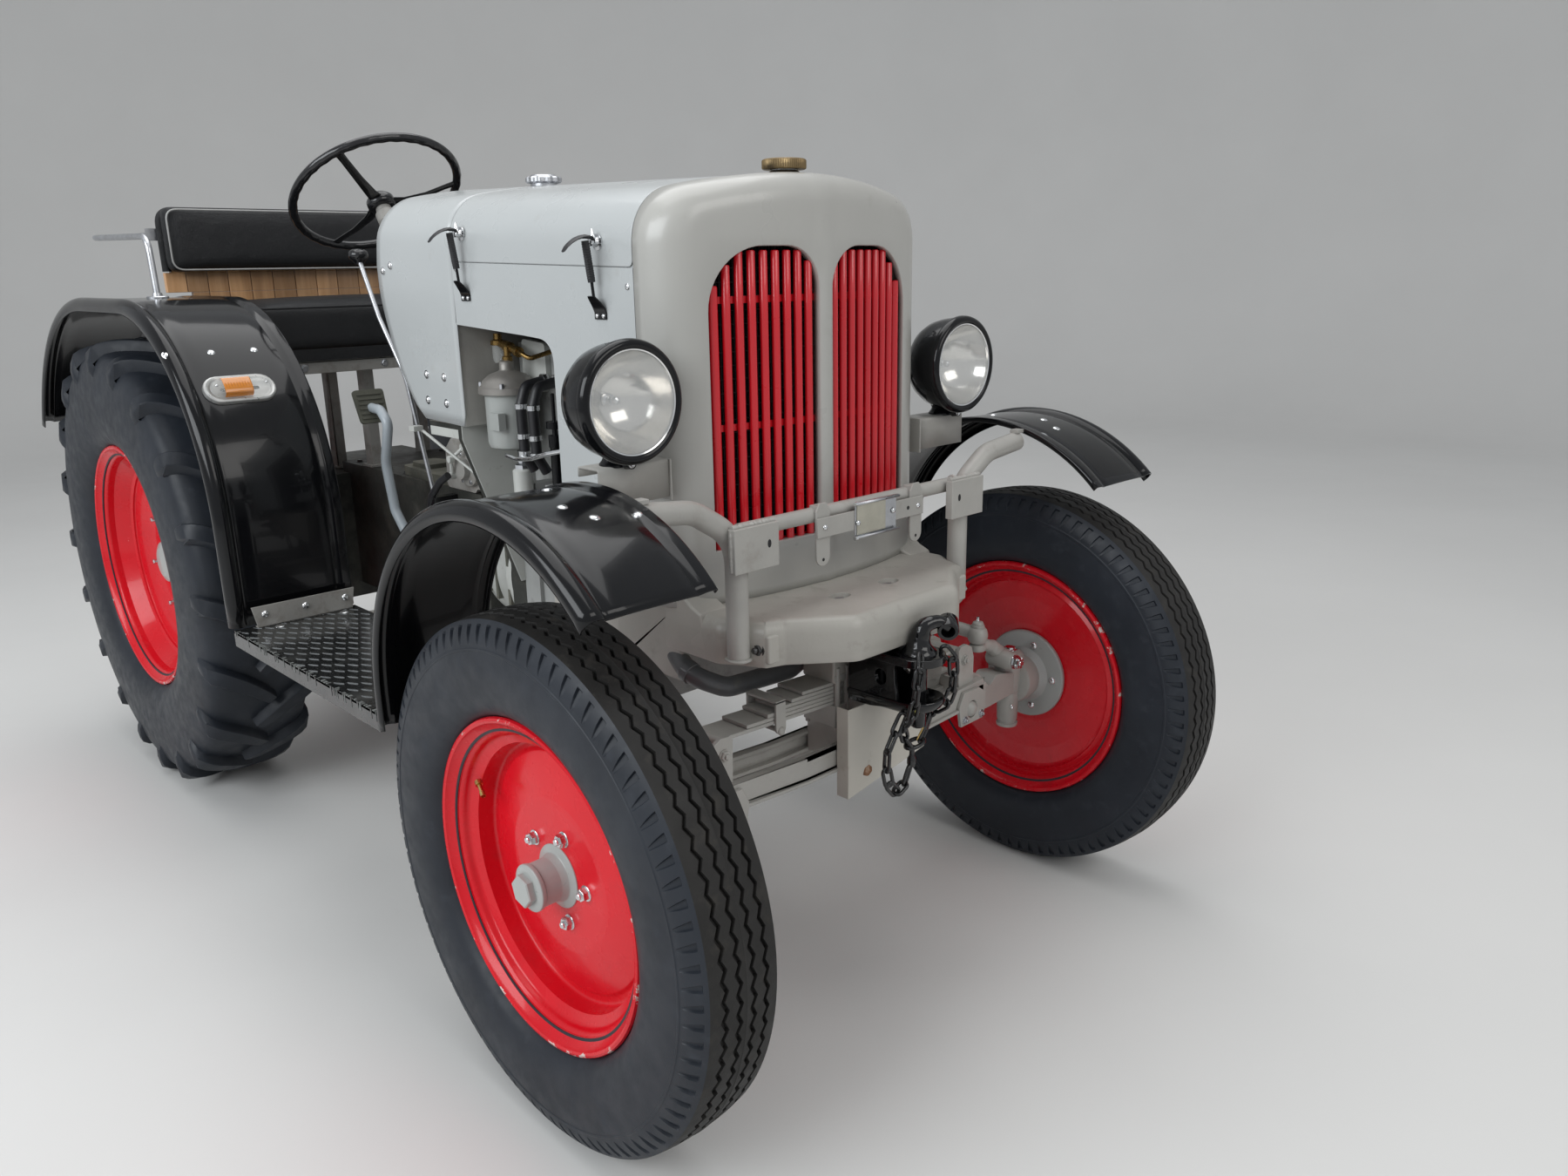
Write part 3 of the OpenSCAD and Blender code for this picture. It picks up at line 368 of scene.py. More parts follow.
def raised(p, plane, d):
    """A flat point at depth d: plane "x" takes (y, z), "y" takes (x, z) and "z" takes (x, y)."""
    return {"x": (d, p[0], p[1]), "y": (p[0], d, p[1]), "z": (p[0], p[1], d)}[plane]


def within(x, y, outline):
    """Whether a flat point lies inside an outline."""
    hit = False
    for (x0, y0), (x1, y1) in zip(outline, outline[1:] + outline[:1]):
        if (y0 > y) != (y1 > y) and x < (x1 - x0) * (y - y0) / (y1 - y0) + x0:
            hit = not hit
    return hit


def filled(outline, holes, extra=()):
    """Triangles over an outline around its holes, with extra points spread on it: flat points and faces."""
    points = []
    edges = []
    for ring in (outline, *holes):
        first = len(points)
        points += ring
        edges += [(first + i, first + (i + 1) % len(ring)) for i in range(len(ring))]
    mesh = delaunay_2d_cdt([Vector(p) for p in [*points, *extra]], edges, [], 0, 0.001)
    verts = [tuple(v) for v in mesh[0]]
    keep = []
    for f in mesh[2]:
        x = sum(verts[i][0] for i in f) / len(f)
        y = sum(verts[i][1] for i in f) / len(f)
        if within(x, y, outline) and not any(within(x, y, hole) for hole in holes):
            keep.append(f)
    return verts, keep


def ribbed(sections, n, radius):
    """Rings of n points from (radius, height, ribbed), radius(r, rib, a, k) being the radius at a point."""
    rows = []
    for r, z, rib in sections:
        around = [(radius(r, rib, a, k), a) for k, a in enumerate(angles(n))]
        rows.append([(at_r * math.cos(a), at_r * math.sin(a), z) for at_r, a in around])
    return rows


def on(centre, axis, turn=0.0):
    """Local +Z lies along axis, and the local origin at centre."""
    z = Vector(axis).normalized()
    help_axis = Vector(UP) if abs(z.z) < 0.9 else Vector(BACK)
    x = help_axis.cross(z).normalized()
    y = z.cross(x)
    m = Matrix((x, y, z)).transposed().to_4x4()
    return Matrix.Translation(Vector(centre)) @ m @ Matrix.Rotation(math.radians(turn), 4, "Z")


class Shape:
    """Points and faces in millimetres, with a material number for each face."""

    def __init__(self):
        self.verts = []
        self.faces = []
        self.mats = []

    def put(self, verts, faces, mat=0, at=None):
        first = len(self.verts)
        for p in verts:
            p = Vector(p)
            self.verts.append(at @ p if at else p)
        for f in faces:
            self.faces.append([first + i for i in f])
            self.mats.append(mat)

    def grid(self, rows, closed_rows=False, closed_cols=False, mat=0, at=None):
        """rows of points, all of one length; closed joins the last to the first."""
        n = len(rows)
        m = len(rows[0])
        verts = [p for row in rows for p in row]
        faces = []
        for i in range(n if closed_rows else n - 1):
            for j in range(m if closed_cols else m - 1):
                a = i * m + j
                b = i * m + (j + 1) % m
                c = ((i + 1) % n) * m + (j + 1) % m
                d = ((i + 1) % n) * m + j
                faces.append((a, b, c, d))
        self.put(verts, faces, mat, at)

    def lathe(self, profile, at, n=64, mat=0):
        """profile is (radius, height) along the local +Z; a radius of 0 closes the end."""
        verts = []
        rings = []
        for r, z in profile:
            if r < 1e-6:
                rings.append([len(verts)])
                verts.append((0, 0, z))
            else:
                first = len(verts)
                rings.append(list(range(first, first + n)))
                for k in range(n):
                    a = math.tau * k / n
                    verts.append((r * math.cos(a), r * math.sin(a), z))
        faces = []
        for p, q in zip(rings, rings[1:]):
            for k in range(n):
                j = (k + 1) % n
                if len(p) == 1 and len(q) == 1:
                    continue
                if len(p) == 1:
                    faces.append((p[0], q[j], q[k]))
                elif len(q) == 1:
                    faces.append((p[k], p[j], q[0]))
                else:
                    faces.append((p[k], p[j], q[j], q[k]))
        self.put(verts, faces, mat, at)

    def box(self, x, y, z, mat=0, at=None):
        verts = [(x[i], y[j], z[k]) for i in (0, 1) for j in (0, 1) for k in (0, 1)]
        faces = [(0, 1, 3, 2), (4, 6, 7, 5), (0, 4, 5, 1), (2, 3, 7, 6), (0, 2, 6, 4), (1, 5, 7, 3)]
        self.put(verts, faces, mat, at)

    def prism(self, outline, plane, lo, hi, mat=0, at=None):
        """An outline in plane "x" (y, z), "y" (x, z) or "z" (x, y), between lo and hi on that axis."""
        n = len(outline)
        verts = [raised(p, plane, d) for d in (lo, hi) for p in outline]
        faces = [tuple(range(n)), tuple(range(2 * n - 1, n - 1, -1))]
        faces += [(k, k + n, (k + 1) % n + n, (k + 1) % n) for k in range(n)]
        self.put(verts, faces, mat, at)

    def tube(self, points, r, n=16, mat=0, closed=False):
        """A round bar through points; r is one radius or one for each point."""
        pts = [Vector(p) for p in points]
        radii = r if isinstance(r, (list, tuple)) else [r] * len(pts)
        count = len(pts)
        tangents = []
        for i in range(count):
            a = pts[i - 1] if i > 0 or closed else pts[0]
            b = pts[(i + 1) % count] if i < count - 1 or closed else pts[-1]
            tangents.append((b - a).normalized())
        t0 = tangents[0]
        side = t0.cross(Vector(UP))
        if side.length < 0.2:
            side = t0.cross(Vector(LEFT))
        side.normalize()
        rows = []
        for i in range(count):
            t = tangents[i]
            side = (side - t * side.dot(t)).normalized()
            other = t.cross(side)
            rows.append([pts[i] + radii[i] * (math.cos(math.tau * k / n) * side +
                                              math.sin(math.tau * k / n) * other) for k in range(n)])
        self.grid(rows, closed_rows=closed, closed_cols=True, mat=mat)
        if not closed:
            last = len(self.verts)
            self.faces.append([last - count * n + k for k in range(n)][::-1])
            self.faces.append([last - n + k for k in range(n)])
            self.mats += [mat, mat]

    def bolt(self, centre, axis, size=9.0, high=7.0, mat=0, washer=1.25, stud=0.0, turn=0.0):
        """A hexagon head or nut with a chamfer, on a washer; size is its radius to the corners."""
        at = on(centre, axis, turn)
        if washer:
            thick = size * 0.2
            self.lathe([(0, 0), (size * washer, 0), (size * washer, thick * 0.8),
                        (size * washer * 0.96, thick), (0, thick)], at, 20, mat)
        else:
            thick = 0.0
        hexagon = [(size, thick), (size, high * 0.8), (size * 0.86, high)]
        self.lathe([(0, thick)] + hexagon + [(0, high)], at, 6, mat)
        if stud:
            self.lathe([(size * 0.5, high - 1), (size * 0.5, high + stud * 0.8), (size * 0.4, high + stud),
                        (0, high + stud)], at, 12, mat)

    def dome(self, centre, axis, r=6.0, high=3.0, mat=0, n=16):
        profile = [(r * math.cos(a), high * math.sin(a)) for a in (0, 0.35, 0.7, 1.05, 1.35)]
        self.lathe([(r, -0.5)] + profile + [(0, high)], on(centre, axis), n, mat)

    def join(self, other, at=None):
        first = len(self.verts)
        for p in other.verts:
            self.verts.append(at @ p if at else p.copy())
        for f, m in zip(other.faces, other.mats):
            self.faces.append([first + i for i in f])
            self.mats.append(m)
        return self

    def mirrored(self):
        """This shape and its mirror image across the middle plane."""
        first = len(self.verts)
        self.verts += [Vector((-p.x, p.y, p.z)) for p in self.verts]
        for f, m in list(zip(self.faces, self.mats)):
            self.faces.append([first + i for i in reversed(f)])
            self.mats.append(m)
        return self


def make(name, shape, materials, body="chassis", smooth=38, bevel=0.0, steps=2, stands=(),
         sheet=None):
    """Turns a shape into an object in the row frame, with its finish, its body and the nodes it stands for.

    sheet is a thickness in millimetres and its side: -1 below the faces, 0 on both sides.
    """
    mesh = bpy.data.meshes.new(name)
    mesh.from_pydata([to_row(v) for v in shape.verts], [], shape.faces)
    for m in materials if isinstance(materials, list) else [materials]:
        mesh.materials.append(m)
    mesh.polygons.foreach_set("material_index", shape.mats)
    bm = bmesh.new()
    bm.from_mesh(mesh)
    bmesh.ops.remove_doubles(bm, verts=bm.verts, dist=0.000004)
    bmesh.ops.recalc_face_normals(bm, faces=bm.faces)
    bm.to_mesh(mesh)
    bm.free()
    mesh.shade_smooth()
    mesh.set_sharp_from_angle(angle=math.radians(smooth))
    obj = bpy.data.objects.new(name, mesh)
    bpy.context.scene.collection.objects.link(obj)
    if bevel:
        b = obj.modifiers.new("edge", "BEVEL")
        b.width = bevel / 1000
        b.segments = steps
        b.limit_method = "ANGLE"
        b.angle_limit = math.radians(32)
        b.harden_normals = True
    if sheet:
        thick = obj.modifiers.new("sheet", "SOLIDIFY")
        thick.thickness = sheet[0] / 1000
        thick.offset = sheet[1]
    if stands:
        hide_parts(*stands)
    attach(obj, body)
    return obj


# Wheels and tyres, drawn around X with the outer face to +X, angles from the top towards the front

def round_x(x, angle, r):
    return (x, -r * math.sin(angle), r * math.cos(angle))


def wheel_place(side, x, y, z):
    """Puts a wheel drawn with its outer face to +X at the given hub, side 1 left or -1 right."""
    return Matrix.Translation((side * x, y, z)) @ Matrix.Diagonal((side, 1, 1, 1))


FRONT_PITCHES = 90


def front_tyre():
    s = Shape()
    side = [(254.3, 45.6), (266, 48.4), (279.5, 50.6), (282.6, 55), (288, 63), (297, 70.6), (309, 76.4),
            (324, 80.2), (340, 82.1), (356, 82.6), (372, 82.0), (386, 80.6), (392, 79.9), (393.2, 80.7),
            (396.4, 80.4), (397.6, 79.2)]
    band = [(0.0, 0.05, 0), (0.1, 0.05, 0), (0.3, 0.09, 2.4), (0.55, 0.14, 4.2), (0.8, 0.17, 4.8),
            (0.86, 0.17, 0), (0.95, 0.17, 0)]

    def crown(x):
        return FRONT_RADIUS - 5.0 * (abs(x) / 60) ** 2.4

    def half(sign):
        """Columns from the bead to the tread edge: (radius, x, notch half width, notch depth, turn)."""
        cols = [(r, sign * x, 0.05, 0, 0.3) for r, x in side]
        for t, w, d in band:
            cols.append((398.6 + 40 * t, sign * (78.9 - 16.4 * t ** 1.7), w, d, 0.3 * (1 - t)))
        cols.append((439.6, sign * 61.6, 0.17, 0, 0))
        cols.append((crown(58.5), sign * 58.5, 0.17, 0, 0))
        return cols

    grooves = []
    for g in (-38, -13, 13, 38):
        grooves += [(g - 3.7, 0), (g - 2.7, 7.5), (g + 2.7, 7.5), (g + 3.7, 0)]

    def wall(k, i, sign):
        """One side's points at step i of pitch k, from the bead to the tread."""
        points = []
        for r, x, w, d, turn in half(sign):
            f = (0, 0.45 - w, 0.5 - w, 0.5, 0.5 + w, 0.55 + w)[i]
            deep = d if i in (2, 3, 4) else 0
            a = math.tau * (k + f + turn * sign) / FRONT_PITCHES
            points.append(round_x(x - sign * 0.85 * deep, a, r - 0.5 * deep))
        return points

    rows = []
    for k in range(FRONT_PITCHES):
        for i in range(6):
            row = wall(k, i, -1)
            f = (0, 0.28, 0.33, 0.5, 0.67, 0.72)[i]
            zig = 3.8 * (1 - 4 * abs(f - 0.5))
            a = math.tau * (k + f) / FRONT_PITCHES
            for n, (x, deep) in enumerate(grooves):
                if n == 8:
                    for cx, lift in ((-1.3, 0), (0, 0.8), (1.3, 0)):
                        row.append(round_x(cx, a, crown(cx) + lift))
                row.append(round_x(x + zig, a, crown(x + zig) - deep))
            rows.append(row + wall(k, i, 1)[::-1])
    s.grid(rows, closed_rows=True, closed_cols=True)
    cols = len(rows[0])
    edge = len(side) + len(band)
    s.mats = [1 if edge <= i % cols < cols - edge - 1 else 0 for i in range(len(s.faces))]
    return s


def rear_tyre():
    s = Shape()
    side = [(308.3, 102.6), (322, 106), (335.5, 109), (338, 114), (346, 122), (362, 131), (385, 138),
            (412, 141.6), (445, 142.5), (478, 141.6), (508, 139.6), (534, 136), (556, 130.5), (571, 122),
            (581, 108), (587, 86), (590, 60), (591, 30)]
    rows = []
    for a in angles(160):
        row = [round_x(-x, a, r) for r, x in side] + [round_x(0, a, 591)]
        row += [round_x(x, a, r) for r, x in side[::-1]]
        rows.append(row)
    s.grid(rows, closed_rows=True, closed_cols=True)
    # lugs: (x, run along the tread, half width, radius of the top, radius of the foot)
    path = [(-14, -6, 13, 614, 586), (10, 18, 16, 617, 586), (36, 42, 17.5, 617, 586),
            (62, 63, 18.5, 616, 584), (88, 80, 19.5, 613.5, 580), (110, 92, 20.5, 608, 570),
            (127, 99, 21, 599, 556), (138, 103, 20, 583, 540), (143.2, 105, 17, 560, 520),
            (143.0, 106, 13, 536, 500)]
    for sign in (-1, 1):
        for k in range(20):
            start = math.tau * (k + (0.5 if sign > 0 else 0)) / 20
            rows = []
            for i, (x, run, half, top, foot) in enumerate(path):
                ax, arun = path[max(i - 1, 0)][:2]
                bx, brun = path[min(i + 1, len(path) - 1)][:2]
                dx, dr = bx - ax, brun - arun
                size = math.hypot(dx, dr) or 1
                nx, nr = -dr / size, dx / size
                if i >= 7:
                    nx, nr = 0, 1
                row = []
                for w, r in ((-1.35, foot), (-1.0, top - 3), (-0.86, top), (0.86, top), (1.0, top - 3),
                             (1.35, foot)):
                    px = x + nx * half * w
                    if i >= 7:
                        px = x - (0 if r == top else 1.5) - (10 if r == foot else 0)
                    row.append(round_x(sign * px, start - (run + nr * half * w) / 600, r))
                rows.append(row)
            first = len(s.verts)
            s.grid(rows)
            s.faces.append([first + j for j in range(6)])
            last = len(s.verts)
            s.faces.append([last - 1 - j for j in range(6)])
            s.mats += [0, 0]
    return s


def rim_profile(lip, half, seat, well):
    """Outer side of a pressed rim, from the inner lip round the well to the outer lip."""
    inner = [(lip, half - 9), (lip + 1, half - 4), (lip - 1, half), (lip - 5, half + 1.4),
             (lip - 9, half - 0.5), (lip - 12, half - 6)]
    fall = [(seat + 6, half - 14), (seat - 4, half - 22), (seat - 7, half * 0.46), (well - 4, half * 0.32)]
    return inner, rounded(fall, 10, 4)


def other_side(profile):
    """A rim's profile on the inner side of its wheel."""
    return [(r, -x) for r, x in profile[::-1]]


def lathe_x(s, profile, n=96):
    """A profile of (radius, x) around X."""
    s.lathe(profile, on((0, 0, 0), LEFT), n)


def front_wheel():
    rim = Shape()
    lip, fall = rim_profile(280, 60, 252, 232)
    face = rounded([(228, 10), (227, -14), (212, -12.5), (206, -8), (170, -1), (132, 5.6), (122, 6.2),
                    (36, 6.2)], 7, 4)
    back = rounded([(36, -3), (120, -3.2), (186, -11), (222, -19), (228, -22), (232, -30)], 4, 3)
    outside = [(253.6, -44), (252, -30), (234, -20), (234, 20), (252, 30), (253.6, 44), (270, 50)]
    lathe_x(rim, lip + fall + face + back + other_side(fall)[1:] + other_side(lip) + outside + lip[:1], 128)
    hub = Shape()
    body = rounded([(36, 4), (54.5, 5.4), (54.5, 8.5), (41, 12), (37, 24), (37, 52), (36, 52.6), (36, 54)],
                   3.2, 3)
    cap = rounded([(36, 54), (39.5, 54), (40, 62), (31, 65.5), (0.01, 65.5)], 2.6, 3)
    flange = rounded([(20.4, -36), (44, -36), (58, -24), (66, -16.5), (103, -14.6), (106, -12), (106, -3.4),
                      (40, -3.4), (20.4, -17)], 4, 3)
    lathe_x(hub, body, 64)
    lathe_x(hub, cap, 64)
    hub.lathe([(27.5, 65), (27.5, 76), (25.5, 78), (0, 78)], on((0, 0, 0), LEFT, 12), 6)
    lathe_x(hub, flange, 64)
    nuts = Shape()
    for k in range(5):
        c = round_x(0, math.radians(72 * k + 18), 78)
        nuts.bolt((6, c[1], c[2]), LEFT, 11.6, 13, washer=1.16, stud=5, turn=23 * k)
        nuts.dome((-14.6, c[1], c[2]), RIGHT, 9.5, 6.5)
    valve = Shape()
    at_rim = Vector(round_x(26, math.radians(-62), 229))
    tip = Vector(round_x(34, math.radians(-62), 196))
    valve.tube([at_rim, at_rim.lerp(tip, 0.25)], 6.5, 14)
    valve.tube([at_rim, tip], 3.6, 12)
    valve.tube([at_rim.lerp(tip, 0.72), tip], 4.8, 12)
    return rim, hub, nuts, valve


def rear_wheel():
    rim = Shape()
    lip, fall = rim_profile(335, 117, 306, 270)
    face = rounded([(266, 36), (265, 31), (236, 27), (216, 21), (168, 9), (150, 7), (60, 7)], 9, 4)
    back = rounded([(60, -3), (150, -3), (216, 11), (262, 21), (266, 16)], 5, 3)
    outside = [(307.6, -100), (306, -84), (272, -38), (272, 38), (306, 84), (307.6, 100), (324, 107)]
    lathe_x(rim, lip + fall + face + back + other_side(fall) + other_side(lip) + outside + lip[:1], 128)
    hub = Shape()
    body = rounded([(60, 5), (104, 7.4), (104, 14), (70, 17), (60, 30), (56, 42), (40, 49), (0.01, 51)], 6,
                   4)
    lathe_x(hub, body, 64)
    lathe_x(hub, [(32.4, -30), (92, -30), (92, -3.2), (40, -3.2)], 64)
    nuts = Shape()
    for k in range(6):
        c = round_x(0, math.radians(60 * k + 20), 140)
        nuts.bolt((7, c[1], c[2]), LEFT, 14.5, 14, washer=1.3, stud=14, turn=17 * k)
        c = round_x(0, math.radians(60 * k + 50), 86)
        nuts.bolt((14, c[1], c[2]), LEFT, 11, 10, washer=1.25, turn=11 * k)
    return rim, hub, nuts, None


def build_wheels():
    wheels = (
        ("front", FRONT_TRACK, 0, FRONT_RADIUS, 0.268, front_tyre(), [wall_rubber, tread_rubber], 32,
         front_wheel()),
        ("rear", REAR_TRACK, WHEELBASE, REAR_RADIUS, 0.323, rear_tyre(), wall_rubber, 35, rear_wheel()))
    for side, word in ((-1, "right"), (1, "left")):
        for end, x, y, radius, lip, tyre, rubber, smooth, (rim, hub, nuts, valve) in wheels:
            at = wheel_place(side, x, y, radius)
            name = f"{end}_{word}"
            red = wheel_red(name, to_row((side * x, y, radius)), lip)
            make("tread_" + name, Shape().join(tyre, at), rubber, name, smooth,
                 stands=["tyre_" + name])
            make("disc_" + name, Shape().join(rim, at), red, name, 30, stands=["wheel_" + name])
            make("hub_" + name, Shape().join(hub, at), hub_grey, name, 30)
            make("nuts_" + name, Shape().join(nuts, at), bright, name, 30)
            if valve:
                make("valve_" + name, Shape().join(valve, at), clean_brass, name)


# Grille shell, bonnet, side panels and cowl

HOOD = 335
TOP = 1552
LOW = 802
ROUND = 100
CROWN = 1300
RISE = math.radians(1.6)
SEAM = 161.5
LID_END = 773.5
DASH = 1052.5


def hood_outline(low, inset=0.0):
    """Half the front view of the hood, from the lower edge to the middle of the top, as (x, z, normal)."""
    cx = HOOD - ROUND
    cz = TOP - CROWN + math.sqrt((CROWN - ROUND) ** 2 - cx ** 2)
    end = math.atan2(cz - TOP + CROWN, cx)
    out = []
    steps = max(2, int((cz - low) / 24))
    for i in range(steps):
        out.append((HOOD - inset, low + (cz - low) * i / steps, 0.0))
    for i in range(13):
        a = end * i / 12
        out.append((cx + (ROUND - inset) * math.cos(a), cz + (ROUND - inset) * math.sin(a), a))
    for i in range(1, 11):
        a = end + (math.pi / 2 - end) * i / 10
        out.append(((CROWN - inset) * math.cos(a), TOP - CROWN + (CROWN - inset) * math.sin(a), a))
    return out


def both_sides(half):
    """An outline of one half as (x, z, normal), and its mirror image."""
    return half + [(-x, z, math.pi - a) for x, z, a in half[-2::-1]]


def full_outline(low, inset=0.0):
    return both_sides(hood_outline(low, inset))


def front_y(x):
    bulge = 3.5 * (1 - (x / 17) ** 2) if abs(x) < 17 else 0
    return 28 + x * x / 2000 - bulge


def arch_outline(grow=0.0):
    """The opening on the left half, counter-clockwise as (x, z)."""
    x0, x1, z0, z1, r0, r1 = 17 - grow, 255 + grow, 900 - grow, 1425 + grow, 75 + grow, 110 + grow
    side = [(x1, z0 + (z1 - r1 - z0) * i / 16) for i in range(16)]
    top = arc((x1 - r1, z1 - r1), r1, 0, 90, 12) + arc((x0 + r0, z1 - r0), r0, 90, 180, 10)
    down = [(x0, z1 - r0 - (z1 - r0 - z0) * i / 16) for i in range(1, 17)]
    low = [(x0 + (x1 - x0) * i / 8, z0) for i in range(1, 8)]
    return side + top + down + low


def shell_roll(s):
    """The shell's sides and top, rolled round to its face; gives the face's rim as (x, z)."""
    cols = full_outline(LOW)
    starts = []
    rim = []
    for x, z, a in cols:
        up = math.sin(a)
        deep = 58 - 6 * up
        bx = x - deep * math.cos(a)
        bz = z - deep * up
        face = front_y(bx)
        corner = 28 + x * x / 2000 if up < 0.5 else face + (abs(x) - abs(bx)) * abs(bx) / 1000
        starts.append((Vector((x, corner + 56, z)), Vector((x, corner, z)), Vector((bx, face, bz))))
        rim.append((bx, bz))
    rows = [[(x, 160, z) for x, z, a in cols]]
    for step in range(11):
        t = step / 10
        row = []
        for a, c, b in starts:
            p1 = a.lerp(c, 0.6)
            p2 = b.lerp(c, 0.6)
            row.append((1 - t) ** 3 * a + 3 * t * (1 - t) ** 2 * p1 + 3 * t * t * (1 - t) * p2 + t ** 3 * b)
        rows.append(row)
    s.grid(rows)
    return rim


def shell_face(s, rim):
    """The shell's bulged face between its rim and the two arches."""
    arch = arch_outline(2.5)
    holes = [arch, [(-x, z) for x, z in arch[::-1]]]
    sill = [(rim[-1][0] + (rim[0][0] - rim[-1][0]) * i / 24, LOW) for i in range(1, 24)]
    outline = rim + sill
    ridge = rim[len(rim) // 2][1] - 10
    spread = []
    for i in range(-15, 16):
        for j in range(36):
            x, z = i * 17, 818 + j * 19.5
            in_arch = 12 <= abs(x) <= 260 and 895 < z < 1430
            if abs(x) <= 262 and z <= ridge - x * x / 2600 and not in_arch:
                spread.append((x, z))
    near = outline + holes[0] + holes[1]
    spread = [p for p in spread if min(math.dist(p, q) for q in near) > 8]
    for z in range(912, 1400, 20):
        spread += [(-7, z), (0, z + 9), (7, z)]
    verts, faces = filled(outline, holes, spread)
    s.put([(x, front_y(x), z) for x, z in verts], faces)


def build_shell():
    s = Shape()
    shell_face(s, shell_roll(s))
    for sign in (-1, 1):
        rows = []
        for grow, deep in ((2.5, 0), (1.2, 0.5), (0.3, 1.6), (0, 3.2), (0, 16)):
            rows.append([(sign * x, front_y(x + 2.5 - grow if x < 100 else x) + deep, z)
                         for x, z in arch_outline(grow)])
        s.grid(rows, closed_cols=True)
    # The shell's darker, warmer grey is painted shade of the less lit front.
    make("shell", s, shell_grey_shaded, stands=["grille_shell"], smooth=50, sheet=(3, -1))


def build_radiator_cap():
    neck = Shape()
    neck.lathe([(30, -7), (30, 2), (27, 5), (24, 7), (24, 20), (0, 20)], on((0, 134, TOP), UP), 40)
    make("cap_neck", neck, zinc)
    cap = Shape()
    sections = ((0, 10, 0), (38, 10, 0), (40, 11, 1), (41, 13, 1), (41, 25, 1), (40, 27, 1), (37, 28.5, 0),
                (33, 29, 0), (30, 28, 0), (27, 28, 0), (25, 29.5, 0), (0, 30, 0))
    knurls = ribbed(sections, 120, lambda r, rib, a, k: r - (0.9 if rib and k % 2 else 0))
    cap.grid(knurls, closed_cols=True, at=Matrix.Translation((0, 134, TOP - 2)))
    make("cap_radiator", cap, brass, stands=["radiator_cap"], smooth=25)


def build_grille():
    s = Shape()
    for i in range(9):
        x = 34 + i * 25.5
        y = 43 + x * x / 2000
        top = {0: 1400, 7: 1394, 8: 1360}.get(i, 1418)
        half = 8.2 if i < 8 else 9.5
        turn = math.atan(x / 1000)
        profile = []
        for k in range(11):
            a = math.pi * k / 10
            profile.append((-half * math.cos(a), -8.5 * math.sin(a)))
        profile += [(half - 1.5, 2.5), (-half + 1.5, 2.5)]
        rows = []
        for z in (884, 1000, 1150, 1300, top - 2, top):
            shrink = 1 if z < top else 0.8
            rows.append([(x + shrink * (px * math.cos(turn) - py * math.sin(turn)),
                          y + shrink * (px * math.sin(turn) + py * math.cos(turn)), z)
                         for px, py in profile])
        s.grid(rows, closed_cols=True)
    for z in (890, 1110, 1330):
        rows = []
        for k in range(13):
            x = 262 * k / 12
            y = 47 + x * x / 2000
            rows.append([(x, y, z), (x, y, z + 12), (x, y + 3, z + 12), (x, y + 3, z)])
        s.grid(rows, closed_cols=True)
    make("bars", s.mirrored(), bar_red, stands=["grille_bars"], smooth=40)
    core = Shape()
    core.box((-268, 268), (104, 152), (830, 1440))
    for k in range(66):
        x = -262 + k * 8.06
        core.box((x - 0.8, x + 0.8), (98, 104), (850, 1430))
    for z in range(860, 1430, 24):
        core.box((-262, 262), (97, 104), (z, z + 1.6))
    core.box((-272, 272), (96, 154), (800, 846))
    core.box((-258, 258), (98, 152), (1428, 1482))
    core.lathe([(22, 0), (22, 66)], on((0, 134, 1480), UP), 32)
    # The core's near black is partly its black paint, partly painted shade deep behind the grille.
    make("radiator_core", core, painted_shade_black, stands=["radiator"])


def lift(p):
    """The bonnet and the cowl rise a little to the rear."""
    return (p[0], p[1], p[2] + (p[1] - SEAM) * math.tan(RISE))


def build_bonnet():
    s = Shape()
    half = hood_outline(1393)
    fold = [(HOOD, 1393 + 2.2 * i, 0.0) for i in range(1, 7)]
    half = [half[0]] + fold + [c for c in half[1:] if c[1] > 1408]
    cols = both_sides(half)
    rows = []
    for t in (0, 0.004, 0.02, 0.08, 0.18, 0.28, 0.38, 0.48, 0.58, 0.68, 0.78, 0.88, 0.97, 0.996, 1):
        row = []
        for x, z, a in cols:
            low = max(0.0, 12 - (z - 1393))
            cut = 12 - math.sqrt(max(0, 144 - low * low))
            y0 = SEAM + 0.8 + cut
            row.append(lift((x, y0 + (LID_END - y0) * t, z)))
        rows.append(row)
    s.grid(rows)
    make("lid", s, sheet_grey, "hood", stands=["bonnet"], smooth=50, sheet=(2.5, -1))
    stay = Shape()
    outer = full_outline(1400, 3.2)
    inner = full_outline(1400, 15)
    for y in (230, 468, 700):
        edges = ((outer, -9), (inner, -9), (inner, 9), (outer, 9))
        stay.grid([[lift((p[0], y + d, p[1])) for p in line] for line, d in edges], closed_rows=True)
    make("lid_stays", stay, frame_grey, "hood")


